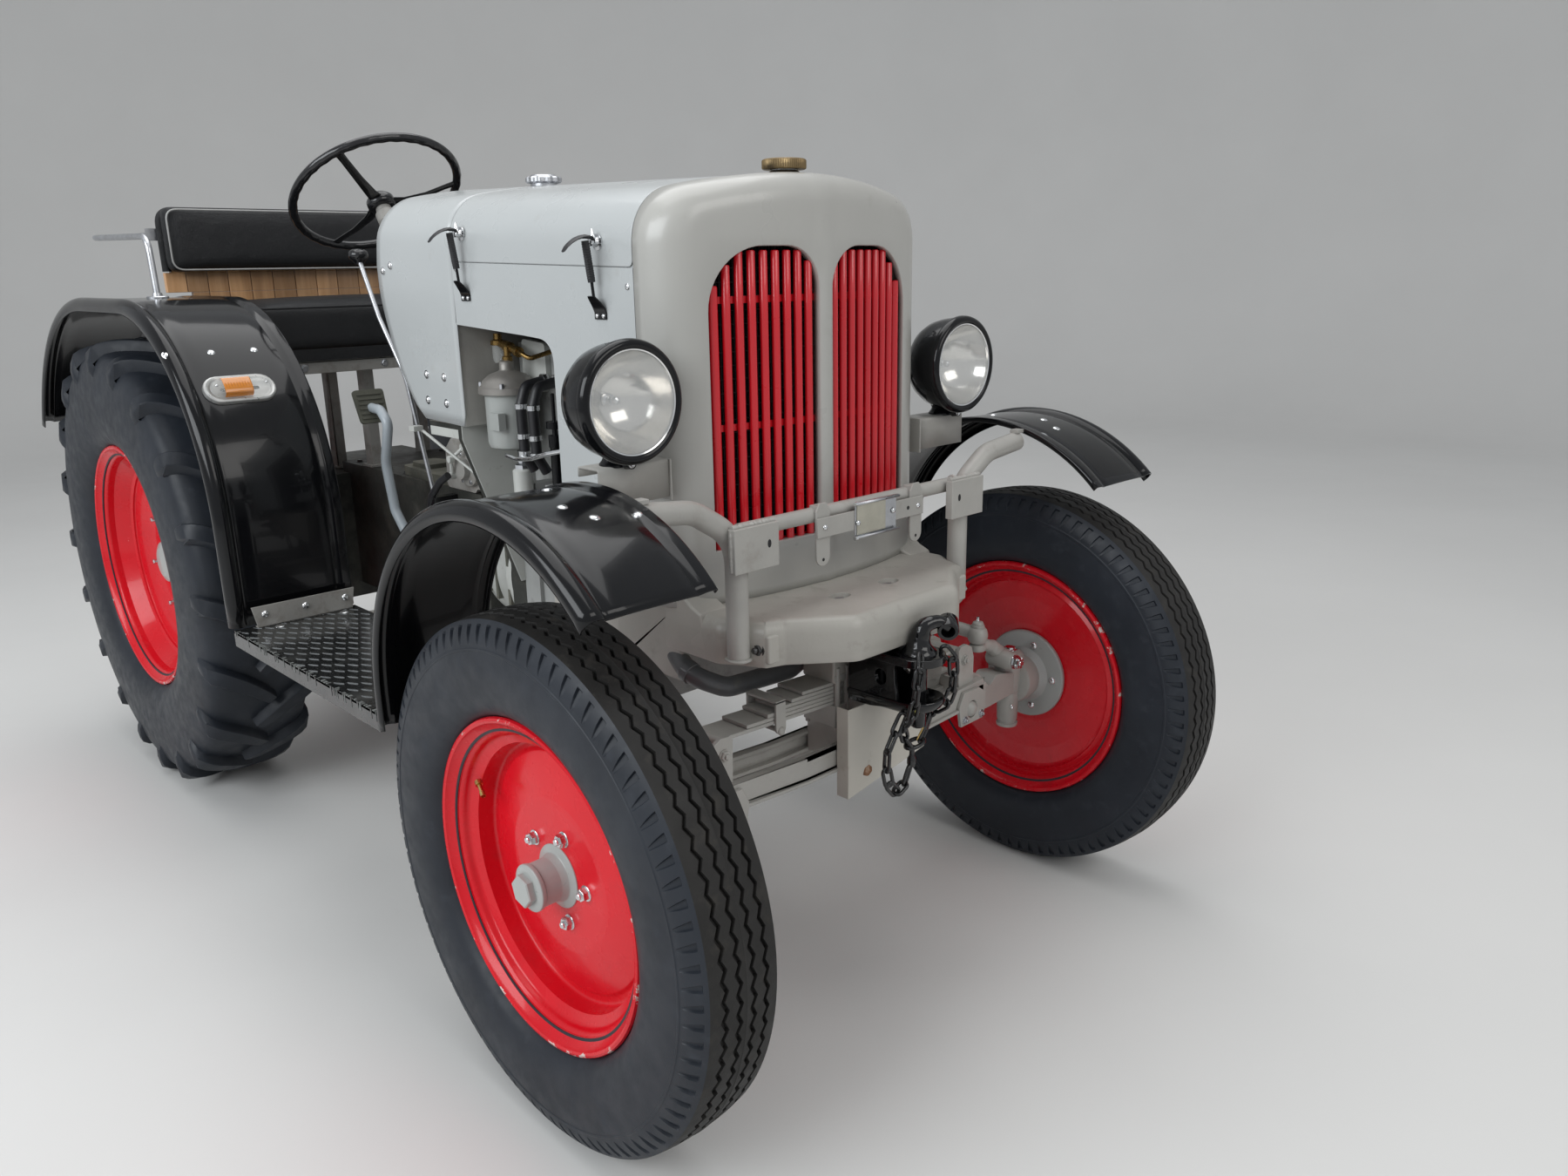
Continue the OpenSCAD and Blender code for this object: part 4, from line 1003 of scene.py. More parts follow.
def build_side_panels():
    s = Shape()
    rise = math.tan(RISE)
    length = LID_END - SEAM
    outline = rounded([(161.6, 842), (161.6, 1391.6), (LID_END, 1391.6 + length * rise), (777, 1284),
                       (515, 1269), (421, 1262), (421, 842)], [0, 0.1, 0.1, 6, 0.1, 84, 0], 10)
    s.prism(outline, "x", HOOD - 2.5, HOOD)
    # folded rim of the bay's opening
    rows = []
    for y, z in [p for p in outline if p[0] > 420 and p[1] < 1290]:
        rows.append([(HOOD - 2.3, y, z + 0.6), (HOOD - 20, y, z + 0.6), (HOOD - 20, y - 1.5, z + 2.6),
                     (HOOD - 2.3, y - 1.5, z + 2.6)])
    s.grid(rows, closed_cols=True)
    for lo, hi, depth in ((1374, 1388, 2.5), (1386, 1410, 3.2)):
        up = (length - 3) * rise
        s.prism([(SEAM + 3, lo), (LID_END - 3, lo + up), (LID_END - 3, hi + up), (SEAM + 3, hi)],
                "x", HOOD - 12, HOOD - depth)
    s.box((280, HOOD - 1), (180, 220), (LOW, 850))
    make("side_sheets", s.mirrored(), sheet_grey, stands=["side_panels"], bevel=0.7)
    small = Shape()
    for y, z in ((178, 1361), (758, 1396)):
        small.dome((HOOD, y, z), LEFT, 6.2, 3.4)
    make("panel_rivets", small.mirrored(), bright)


def cowl_back(z):
    """Depth of the cowl's rear edge at a height, through the edge's five points."""
    pts = [(1050, 930), (1075, 966), (1120, 1008), (1170, 1046), (1225, 1074), (1280, 1096), (1339, 1112),
           (1400, 1113), (1470, 1097), (1535, 1077), (1700, 1070)]
    for (z0, y0), (z1, y1) in zip(pts, pts[1:]):
        if z <= z1:
            return y0 + (y1 - y0) * max(0, z - z0) / (z1 - z0)
    return pts[-1][1]


def upright_wall(low, inset, y, along):
    """A sheet across the hood at y, inside the outline that the hood has at along."""
    s = Shape()
    rise = (along - SEAM) * math.tan(RISE)
    s.prism([(p[0], p[1] + rise) for p in full_outline(low, inset)], "y", y, y + 2.5)
    return s


def build_cowl():
    s = Shape()
    cols = full_outline(1053)
    rows = []
    for k in range(17):
        t = k / 16
        row = []
        for x, z, a in cols:
            first, last = (782, 950) if z < 1054 else (775, cowl_back(z + 20))
            row.append(lift((x, first + (last - first) * t, z)))
        rows.append(row)
    s.grid(rows)
    make("cowl_sheet", s, sheet_grey, stands=["cowl"], smooth=50, sheet=(2.5, -1))
    make("bay_wall", upright_wall(1053, 2.6, 779, 779), frame_grey)
    make("dash_board", upright_wall(1215, 2.8, DASH - 2.5, 1052), sheet_grey, bevel=0.8)


def build_instruments():
    dials = Shape()
    faces = Shape()
    for x, z, r in ((120, 1395, 42), (210, 1385, 30), (30, 1392, 30), (-195, 1385, 30)):
        at = on((x, DASH, z), BACK)
        dials.lathe([(r + 4, 0), (r + 4, 5), (r + 1, 8), (r - 2, 8), (r - 2, 3)], at, 40)
        faces.lathe([(r - 2, 3), (0, 3)], at, 40)
        faces.prism([(-1.2, -6), (1.2, -6), (0.5, r * 0.75), (-0.5, r * 0.75)], "z", 3.5, 4.2,
                    at=at @ Matrix.Rotation(math.radians(40 + x * 0.3), 4, "Z"))
    for x in (-120, -80, -40):
        dials.lathe([(9, 0), (9, 6), (6, 8), (6, 22), (8, 24), (8, 30), (0, 31)], on((x, DASH, 1330), BACK),
                    20)
    make("dial_rings", dials, bright)
    make("dial_faces", faces, black_matt)


def build_cowl_trim():
    bolts = Shape()
    for y, z in ((1047, 1405), (1084, 1394), (927, 1173), (850, 1171), (931, 1117), (849, 1115)):
        bolts.lathe([(9.5, -0.5), (9.5, 1), (0, 1)], on((HOOD, y, z), LEFT), 20)
        bolts.dome((HOOD + 1, y, z), LEFT, 7, 4.6)
    make("cowl_bolts", bolts.mirrored(), bright)
    cap = Shape()
    sections = ((0, 0, 0), (30, 0, 0), (30, 8, 0), (38, 9, 1), (42, 12, 1), (42, 20, 1), (39, 23, 1),
                (31, 24.5, 0), (29, 27, 0), (12, 28, 0), (0, 28, 0))
    lobes = ribbed(sections, 96, lambda r, rib, a, k: r * (1 - 0.045 * rib * (1 + math.cos(12 * a))))
    cap.grid(lobes, closed_cols=True, at=Matrix.Translation((0, 925, 1573)))
    make("cap_fuel", cap, zinc, stands=["fuel_cap"], smooth=30)
    neck = Shape()
    neck.lathe([(42, -6), (42, 0), (36, 3), (30, 4), (30, 12)], on((0, 925, 1572), UP), 40)
    make("neck_fuel", neck, zinc)


LATCHES = ((258, 1447), (724, 1474))


def latch_rod(s, y, top):
    """The thick ribbed rod of a latch whose tongue stands at height top."""
    rod = [(HOOD + 26, y, top - 9), (HOOD + 21.5, y, top - 44), (HOOD + 17, y, top - 78)]
    s.tube(rod, 6.6, 18)
    for k in range(15):
        t = k / 15
        c = Vector(rod[0]).lerp(Vector(rod[2]), 0.08 + 0.88 * t)
        s.lathe([(6.5, -1.1), (7.2, -0.4), (7.2, 0.4), (6.5, 1.1)], on(c, (9, 0, 69)), 18)


def latch_tongue(s, y, top):
    """The pull tongue, curved out and down, with its claw towards the hood."""
    rows = []
    for dx, dz, wide, high in ((-15, -9, 8, 2.5), (-14, -3, 10, 4), (-9, 1, 12, 6), (0, 2, 13, 7.5),
                               (9, 1.5, 12.5, 6), (20, -2, 11, 5), (31, -8, 9, 4), (40, -15, 7.5, 3),
                               (46, -22, 6, 2.2), (47, -23.5, 3, 0.8)):
        slope = math.atan2(-dz, 40) if dx > 0 else 0.2
        ring = []
        for a in angles(16):
            u, v = wide * math.cos(a), high * 0.5 * math.sin(a)
            ring.append((HOOD + 25.5 + dx + v * math.sin(slope), y + u,
                         top - 4 + dz + v * math.cos(slope)))
        rows.append(ring)
    s.grid(rows, closed_cols=True)


def latch_foot(s, y, top):
    """The bracket folded out from the panel, and the short wire from it to the rod."""
    s.tube([(HOOD + 17.2, y, top - 76), (HOOD + 14.5, y, top - 105)], 2.8, 12)
    rows = []
    for x, dz, half in ((0.3, -32, 17), (0.3, -21, 17), (4, -12, 16.5), (11, -2, 14), (17, 5, 11),
                        (19, 8, 9)):
        z = top - 109 + dz
        rows.append([(HOOD + x, y - half, z), (HOOD + x, y + half, z),
                     (HOOD + x + 2.6, y + half, z - 1), (HOOD + x + 2.6, y - half, z - 1)])
    s.grid(rows, closed_cols=True)
    for first in (len(s.verts) - 24, len(s.verts) - 4):
        s.faces.append([first + k for k in range(4)])
        s.mats.append(0)


def latch_hook(s, y, top):
    """The hook on the lid that the tongue's claw takes."""
    s.lathe([(14, 0), (14, 1.8), (8.5, 3), (7, 6), (7, 15), (5.5, 16.5), (0, 17)],
            on((HOOD, y, top - 11), LEFT), 24)
    s.tube([(HOOD + 8, y, top - 9), (HOOD + 10, y, top + 1), (HOOD + 10.5, y, top + 11)],
           [5.5, 4.2, 1.2], 14)
    s.prism([(HOOD, top - 10), (HOOD + 9, top - 10), (HOOD + 8, top + 5), (HOOD, top - 1)], "y",
            y - 1.6, y + 1.6)


def build_latches():
    rubber = Shape()
    foot = Shape()
    hook = Shape()
    rivets = Shape()
    for y, top in LATCHES:
        latch_rod(rubber, y, top)
        latch_tongue(rubber, y, top)
        latch_foot(foot, y, top)
        latch_hook(hook, y, top)
        for dy in (-9.5, 9.5):
            rivets.dome((HOOD + 2.8, y + dy, top - 136), LEFT, 4.6, 3)
    make("latch_rods", rubber.mirrored(), black_rubber, stands=["bonnet_latches"],
         smooth=45)
    make("latch_feet", foot.mirrored(), black_gloss)
    make("latch_rivets", rivets.mirrored(), bright)
    make("latch_hooks", hook.mirrored(), bright, "hood")


# Fenders and turn lamps

FRONT_CENTRE = (45, 655)
FRONT_ARC = 410
FENDER_CENTRE = (1675, 840)
FENDER_ARC = 500


def strip_rows(path, section, side=1):
    """Sweeps a fender's section, given as (x, depth below the outer line), along a side view path."""
    rows = []
    for i, (y, z) in enumerate(path):
        ay, az = path[max(i - 1, 0)]
        by, bz = path[min(i + 1, len(path) - 1)]
        length = math.hypot(by - ay, bz - az)
        ny, nz = -side * (bz - az) / length, side * (by - ay) / length
        rows.append([(x, y + ny * d, z + nz * d) for x, d in section])
    return rows


def fender_section(out, inn, lip, inner_lip):
    """From the outer lip's edge over the outer roll and the flat band to the inner edge."""
    middle = lip * 0.63
    rise = middle - 0.4
    low = -math.degrees(math.asin((lip - middle) / rise))
    roll = []
    for k in range(19):
        a = math.radians(low + (143 - low) * k / 18)
        roll.append((out - 19 + 19 * math.cos(a), middle - rise * math.sin(a)))
    roll += [(out - 36, 7.6), (out - 40, 7.9)]
    band = [(out - 53.5, 7.2), (out - 56, 6.6)]
    count = 8
    for k in range(1, count):
        x = out - 56 + (inn + 38 - out + 56) * k / count
        band.append((x, 6.6 - 1.2 * math.sin(math.pi * k / count)))
    band += [(inn + 38, 6.6), (inn + 35.5, 7.4)]
    inner = rounded([(inn + 34, 7.6), (inn + 20, 3.2), (inn + 2, 2.4), (inn, 6), (inn, inner_lip)],
                    [0, 9, 5, 3, 0], 4)
    return roll + band + inner


def front_fender_path():
    path = [(455, 596), (455, 615), (455, 635)]
    return path + arc(FRONT_CENTRE, FRONT_ARC, 0, 135, 54)


def rear_fender_path():
    path = [(1175, 622), (1175, 680), (1175, 740), (1175, 800)]
    path += arc(FENDER_CENTRE, FENDER_ARC, 180, 90, 40)
    y, z = FENDER_CENTRE
    path += [(y + (WHEELBASE - y) * k / 8, z + FENDER_ARC) for k in range(1, 8)]
    return path + arc((WHEELBASE, 600), REAR_SWEEP, 90, 30, 34)


def on_rear(angle, x, deep=6.6):
    """A place and normal on the front curve of the rear fender, angle up from the level."""
    a = math.radians(180 - angle)
    n = Vector((0, math.cos(a), math.sin(a)))
    return Vector((x, *FENDER_CENTRE)) + n * (FENDER_ARC - deep), n


def fender_bolt(s, place, normal):
    s.dome(place, normal, 9.5, 5)
    s.lathe([(12, -1), (12, 0.6), (0, 0.7)], on(place, normal), 20)


def build_fenders():
    for name, path, side, section, node_name in (
            ("fender_front", front_fender_path(), 1, fender_section(745, 515, 31, 13), "front_fenders"),
            ("fender_rear", rear_fender_path(), -1, fender_section(738, 455, 34, 17), "rear_fenders")):
        s = Shape()
        s.grid(strip_rows(path, section, side))
        make(name, s.mirrored(), black_gloss, stands=[node_name], smooth=60,
             sheet=(2.4, 0))
    bolts = Shape()
    for x, angle in ((-590, 86), (-632, 101), (-609, 108), (-538, 110)):
        a = math.radians(angle)
        n = Vector((0, math.cos(a), math.sin(a)))
        fender_bolt(bolts, Vector((x, *FRONT_CENTRE)) + n * (FRONT_ARC - 6.5), n)
    for x in (-728, -635, -540):
        fender_bolt(bolts, *on_rear(50.5, x))
    make("fender_bolts", bolts.mirrored(), bright)
    # stays of the rear fenders on the rear axle
    stays = Shape()
    stays.box((434, 440), (1975, 2025), (747.3, 1326))
    stays.box((434, 457), (1975, 2025), (1318, 1325))
    make("fender_stays", stays.mirrored(), frame_grey, bevel=1.5)


def oblong(half, r, z):
    """A ring with round ends at a height, half long and r wide."""
    ends = arc((half - r, 0), r, -90, 90, 10) + arc((-half + r, 0), r, 90, 270, 10)
    return [(x, y, z) for x, y in ends]


def build_turn_lamps():
    centre, n = on_rear(37.4, 612)
    across = Vector(LEFT)
    turn = Matrix((across, n.cross(across), n)).transposed().to_4x4()
    at = Matrix.Translation(centre) @ turn @ Matrix.Scale(1.42, 4)
    base = Shape()
    tray = ((56, 24.5, -1), (56, 24.5, 4), (55, 23.5, 7), (52.5, 21, 8.4), (50, 19, 8), (48, 17, 6.4),
            (44, 14, 4.5), (30, 3, 4))
    base.grid([oblong(*ring) for ring in tray], closed_cols=True, at=at)
    lens = Shape()
    dome = ((46, 15.5, 7), (45.5, 15, 12), (43.5, 13.2, 16), (39, 10, 18), (32, 5, 18.8))
    rows = [oblong(*ring) for ring in dome]
    rows.append([(x * 0.4, 0, 19) for x, y, z in oblong(32, 5, 0)])
    lens.grid(rows, closed_cols=True, at=at)
    amber = Shape()
    rows = []
    for k in range(21):
        x = -15 + 43 * k / 20
        ridge = 0.8 if k % 2 else 0
        half = [(-15.8 - ridge * 0.3, 7), (-15.5 - ridge * 0.3, 12), (-13.4, 16.6 + ridge),
                (-9, 18.8 + ridge)]
        full = half + [(0, 19.6 + ridge)] + [(-y, z) for y, z in half[::-1]]
        rows.append([(x, y, z) for y, z in full])
    amber.grid(rows, at=at)
    screws = Shape()
    for x in (-50, 50):
        screws.dome(at @ Vector((x * 0.76, 0, 18)), n, 3, 2.4)
    make("turn_base", base.mirrored(), lamp_frame)
    make("turn_lens", lens.mirrored(), clear_lens, stands=["turn_lamps"])
    make("turn_amber", amber.mirrored(), amber_glass)
    make("turn_screws", screws.mirrored(), bright)


# Headlights

def lamp_lens(at):
    """The headlight's glass: flutes down it, and rings at its middle."""
    glass = Shape()
    edge = 83.4
    rows = []
    for i in range(45):
        r = edge * i / 44
        row = []
        for a in angles(144):
            x, z = r * math.cos(a), r * math.sin(a)
            high = 4.5 * (1 - (r / edge) ** 2)
            if r < 40:
                high += 0.75 * math.cos(r * math.tau / 7.2)
            else:
                high += 0.55 * min(1, (r - 40) / 5) * math.cos(x * math.tau / 9)
            row.append((x, z, high))
        rows.append(row)
    glass.grid(rows, closed_cols=True, at=at)
    back = [[(r * math.cos(a), r * math.sin(a), -2.4 + 2.2 * (1 - (r / edge) ** 2)) for a in angles(144)]
            for r in (edge, 60, 30, 0)]
    glass.grid(back, closed_cols=True, at=at)
    return glass


def build_headlights():
    at = on((436, 44, 1183), AHEAD)
    bowl = Shape()
    outside = [(0.01, -118), (18, -117.6), (36, -115), (52, -109), (66, -100), (79, -87), (88.5, -70),
               (94, -50), (96.4, -32), (97.4, -20), (97.6, -14), (100.6, -12.6), (101.6, -9), (101.4, -3),
               (99.6, 2), (96.6, 5), (92.6, 6), (89, 5.2), (86, 3), (85.2, 0)]
    bowl.lathe(outside, at, 96)
    bowl.lathe([(90.5, -3), (92, -6), (90.5, -9)], at, 96)
    ring = Shape()
    ring.lathe([(86.2, 2.6), (85.4, 3.4), (83.4, 2.6), (82.6, -2)], at, 96)
    dish = Shape()
    dish.lathe([(84.5, -4), (82, -10), (76, -24), (66, -42), (52, -57), (36, -67), (22, -72), (12, -73.5),
                (0.01, -74)], at, 72)
    # foot and its stud
    foot = Shape()
    foot.lathe([(26, -2), (26, 2), (21, 8), (19, 13), (22, 20)], on((436, 104, 1076.2), UP), 32)
    foot.tube([(436, 56, 1083), (436, 70, 1081)], 9.5, 20)
    # bulb in its holder, and the screws
    small = Shape()
    small.lathe([(11, -72), (11, -66), (8, -64), (8, -56), (0, -56)], at, 24)
    small.lathe([(5, -56), (7, -50), (6, -42), (0.01, -39)], at, 20)
    small.bolt((436, 56, 1083), AHEAD, 5.5, 4, washer=1.4)
    small.bolt((436, 110, 1062), DOWN, 9, 9, washer=1.4, stud=6)
    make("lamp_bowls", bowl.mirrored(), black_gloss, stands=["headlights"], smooth=34)
    make("lamp_rings", ring.mirrored(), mirror_ring)
    make("lamp_dishes", dish.mirrored(), reflector, smooth=60)
    make("lamp_glasses", lamp_lens(at).mirrored(), lamp_glass, stands=["headlight_glass"],
         smooth=60)
    make("lamp_feet", foot.mirrored(), black_gloss)
    make("lamp_screws", small.mirrored(), bright)


def build_lamp_arms():
    s = Shape()
    section = rounded([(82, 1010), (82, 1076), (142, 1076), (142, 1058)], 7, 5)
    s.grid([[(x, y, z) for y, z in section] for x in (HOOD + 0.4, 484)])
    make("lamp_arms", s.mirrored(), frame_grey, stands=["lamp_brackets"], smooth=50,
         sheet=(4.2, -1))
    plates = Shape()
    plates.box((HOOD + 0.3, HOOD + 4), (78, 150), (1004, 1076))
    make("lamp_plates", plates.mirrored(), frame_grey, bevel=1.2)


# Bumper and plate holder

BAR_Y = -48


def rough_bead(points, r, seed):
    """A weld bead along points."""
    rng = random.Random(seed)
    s = Shape()
    s.tube(points, [r * (0.75 + 0.4 * rng.random()) for _ in points], 8)
    return s


def build_bumper():
    s = Shape()
    down = fillet([(306, BAR_Y, 735), (306, BAR_Y, 952), (398, BAR_Y, 1010), (505, BAR_Y, 1022)],
                  [0, 90, 90, 0], 10)
    s.tube(down, 20, 28)
    s.join(rough_bead([(306 + 21 * math.cos(a), BAR_Y + 21 * math.sin(a), 736) for a in angles(24, 25)], 3.2,
                      3))
    s.join(rough_bead([(338 - 96 * k / 40, -74, 976) for k in range(41)], 5, 5))
    s.join(rough_bead([(341, -76, 902 + 70 * k / 30) for k in range(31)], 3.5, 9))
    s.mirrored()
    s.join(rough_bead([(289 - 3 * math.sin(a), BAR_Y + 15 * math.cos(a), 961 + 15 * math.sin(a))
                       for a in angles(24, 25)], 3, 4))
    s.tube([(x, BAR_Y, 961) for x in (-300, -100, 100, 300)], 14, 28)
    make("bumper_tubes", s, frame_grey, stands=["bumper"], smooth=50)
    plate = Shape()
    plate.box((239, 341), (-85, -68), (898, 975))
    make("bumper_plates", plate.mirrored(), frame_grey, bevel=1.6)
    # Dark discs on the plates: painted shade of the holes.
    holes = Shape()
    holes.lathe([(5.8, 0), (0, 0.05)], on((262, -85.1, 940), AHEAD) @ Matrix.Diagonal((0.75, 1.25, 1, 1)),
                20)
    make("plate_holes", holes.mirrored(), painted_shade_black)
    small = Shape()
    small.box((492, 540), (-60, -40), (1040, 1047.6))
    make("bumper_straps", small.mirrored(), frame_grey, bevel=1)
    nuts = Shape()
    nuts.bolt((505, BAR_Y, 1022), LEFT, 12, 10, washer=1.2, stud=6)
    nuts.bolt((279.5, -72, 752), LEFT, 11, 8, washer=1.25, stud=7)
    make("bumper_nuts", nuts.mirrored(), steel_dark)


def strap_outline(x, half, low, high):
    pts = arc((x, low + half), half, 180, 360, 10)
    return pts + [(x + half, high - 14), (x + half * 0.5, high), (x - half * 0.5, high),
                  (x - half, high - 14)]


def build_plate_holder():
    front = BAR_Y - 14
    s = Shape()
    for x in (-112, 148):
        s.prism(strap_outline(x, 17.5, 868, 984), "y", front - 5, front - 0.6)
        s.box((x - 12, x + 12), (front - 3, BAR_Y + 4), (958, 979))
    s.prism([(-131, 922), (164, 922), (164, 958), (-131, 958)], "y", front - 10, front - 5.2)
    make("plate_straps", s, frame_grey, stands=["plate_holder"], bevel=1)
    y = front - 10.3
    x0, x1 = -37, 82
    clamp = Shape()
    profile = [(y, 972), (y - 3, 973.5), (y - 9, 973.5), (y - 10, 971), (y - 9.4, 969)]
    for sign in (1, -1):
        clamp.grid([[(x, a, 940 + (b - 940) * sign) for a, b in profile] for x in (x0, x1)])
    make("plate_clamps", clamp, zinc, sheet=(1.6, -1))
    back = Shape()
    back.box((x0 + 2, x1 - 2), (y - 1.6, y), (907, 973))
    make("plate_back", back, zinc, bevel=0.4)
    blank = Shape()
    blank.box((x0 + 6, x1 - 34), (y - 3.4, y - 1.7), (912, 968))
    make("plate_blank", blank, yellow_zinc, bevel=0.5)
    small = Shape()
    for x, z in ((-112, 940), (148, 940), (x0 + 9, 935), (x1 - 12, 943)):
        small.dome((x, front - 10 if abs(x) > 100 else y - 3.4, z), AHEAD, 5.5, 3.2)
    for z in (972, 908):
        small.tube([(x0 - 4, y - 6, z), (x0 + 3, y - 6, z)], 4, 12)
    make("plate_rivets", small, bright)
    # Dark discs on the straps and the plate back: painted shade of the holes.
    holes = Shape()
    for x in (-112, 148):
        holes.lathe([(3.2, 0), (0, 0.05)], on((x, front - 5.1, 880), AHEAD), 16)
    holes.lathe([(4, 0), (0, 0.05)], on((118, front - 10.1, 940), AHEAD), 16)
    make("strap_holes", holes, painted_shade_black)


# Front casting

POCKETS = (-65, 72)


def inset(outline, d):
    """The outline of the casting moved inwards by d."""
    count = len(outline)
    out = []
    for i, (px, py) in enumerate(outline):
        ax, ay = outline[i - 1]
        bx, by = outline[(i + 1) % count]
        size = math.hypot(bx - ax, by - ay) or 1
        out.append((px - (by - ay) / size * d, py + (bx - ax) / size * d))
    return out


def casting_outline():
    plan = [(0, -182), (142, -182), (206, -130), (243, -100), (279, -88), (300, -40), (321, -10), (322, 135),
            (285, 150), (285, 330)]
    half = rounded(plan, [0, 46, 30, 20, 12, 16, 30, 5, 8, 0], 6)
    right = [(0, -182), (60, -182)] + half[1:]
    return right + [(-x, y) for x, y in right[:0:-1]]


def build_casting():
    low, high = 720, 801.7
    outline = casting_outline()
    s = Shape()
    rows = []
    for d, z in ((10, low + 3), (3, low), (0, low + 4), (0, low + 30), (-0.2, high - 30), (0.6, high - 22),
                 (3, high - 13.5), (7.5, high - 6.5), (14, high - 2), (21, high - 0.3), (27, high)):
        rows.append([(x, y, z) for x, y in inset(outline, d)])
    s.grid(rows, closed_cols=True)

    def pocket(x, r):
        """An oval ring of the pocket at x."""
        return [(x + 24 * r * math.cos(a), -63 + 17 * r * math.sin(a)) for a in angles(28)]

    verts, faces = filled(inset(outline, 27), [pocket(x, 1) for x in POCKETS])
    s.put([(x, y, high) for x, y in verts], faces)
    for x in POCKETS:
        depths = ((1, 0), (0.97, 1.5), (0.95, 13), (0.9, 14.5), (0.2, 15), (0, 15))
        s.grid([[(a, b, high - d) for a, b in pocket(x, r)] for r, d in depths], closed_cols=True)
    s.put([(x, y, low + 3) for x, y in inset(outline, 10)], [range(len(outline))])
    make("casting_front", s, cast_grey, stands=["front_casting"], smooth=40)
    small = Shape()
    for x in POCKETS:
        small.bolt((x, -63, high - 15), UP, 12, 10, washer=1.25, turn=17)
    make("casting_bolts", small, zinc)


def build_casting_arms():
    """Raised corners under the shell, and arms back to the engine."""
    s = Shape()
    s.box((232, 279), (-96, -40), (727, 780))
    s.prism([(20, 735), (134, 735), (134, 836), (96, 838), (60, 812), (34, 802)], "x", 255, 321.5)
    s.box((245, 285), (300, 560), (640, 780))
    s.prism([(135, 640), (330, 640), (330, 795), (135, 795)], "x", 262, 285)
    s.box((270, 284), (134, 332), (790, 838))
    s.mirrored()
    s.box((-60, 60), (-42, 42), (618.3, 740))
    s.box((-285, 285), (300, 330), (640, 780))
    make("casting_arms", s, cast_grey, bevel=5, steps=3)


# Front axle, spring, steering links and tow jaw

JAW_Y = -200

STRANDS = (
    [(-42, -200, 596), (-66, -200, 566), (-84, -198, 535), (-86, -198, 500), (-76, -196, 467),
     (-53, -194, 442), (-30, -194, 453), (-15, -194, 482)],
    [(-30, -204, 596), (-46, -202, 568), (-34, -198, 545), (-18, -195, 527)],
    [(14, -195, 527), (30, -196, 550), (38, -199, 574), (40, -201, 596)],
)

FRONT_STRANDS = (
    [(-30, -228, 716), (-48, -242, 694), (-56, -242, 664), (-58, -240, 634), (-56, -232, 604),
     (-50, -214, 586)],
    [(34, -230, 714), (50, -240, 690), (53, -240, 660), (52, -238, 630), (48, -230, 602), (42, -208, 586)],
)


def holed(outline, centre, hole, plane, lo, hi, n=24):
    """A plate with one oval hole; hole is its two half axes."""
    around = angles(n) + [math.atan2(b - centre[1], a - centre[0]) % math.tau for a, b in outline]
    outer = []
    inner = []
    for a in sorted(set(round(a, 5) for a in around)):
        dx, dy = math.cos(a), math.sin(a)
        best = 1e9
        for (px, py), (qx, qy) in zip(outline, outline[1:] + outline[:1]):
            ex, ey = qx - px, qy - py
            cross = dx * ey - dy * ex
            if abs(cross) < 1e-9:
                continue
            t = ((px - centre[0]) * ey - (py - centre[1]) * ex) / cross
            u = ((px - centre[0]) * dy - (py - centre[1]) * dx) / cross
            if t > 0 and -1e-4 <= u <= 1 + 1e-4:
                best = min(best, t)
        outer.append((centre[0] + dx * best, centre[1] + dy * best))
        inner.append((centre[0] + dx * hole[0], centre[1] + dy * hole[1]))
    s = Shape()
    loops = ((outer, lo), (outer, hi), (inner, hi), (inner, lo))
    s.grid([[raised(p, plane, d) for p in loop] for loop, d in loops], closed_rows=True, closed_cols=True)
    return s


def nose(half, back, steps=24):
    """The jaw's plan: straight sides from the back, a half circle around the pin in front."""
    return [(-half, back)] + arc((0, JAW_Y), half, 180, 360, steps) + [(half, back)]


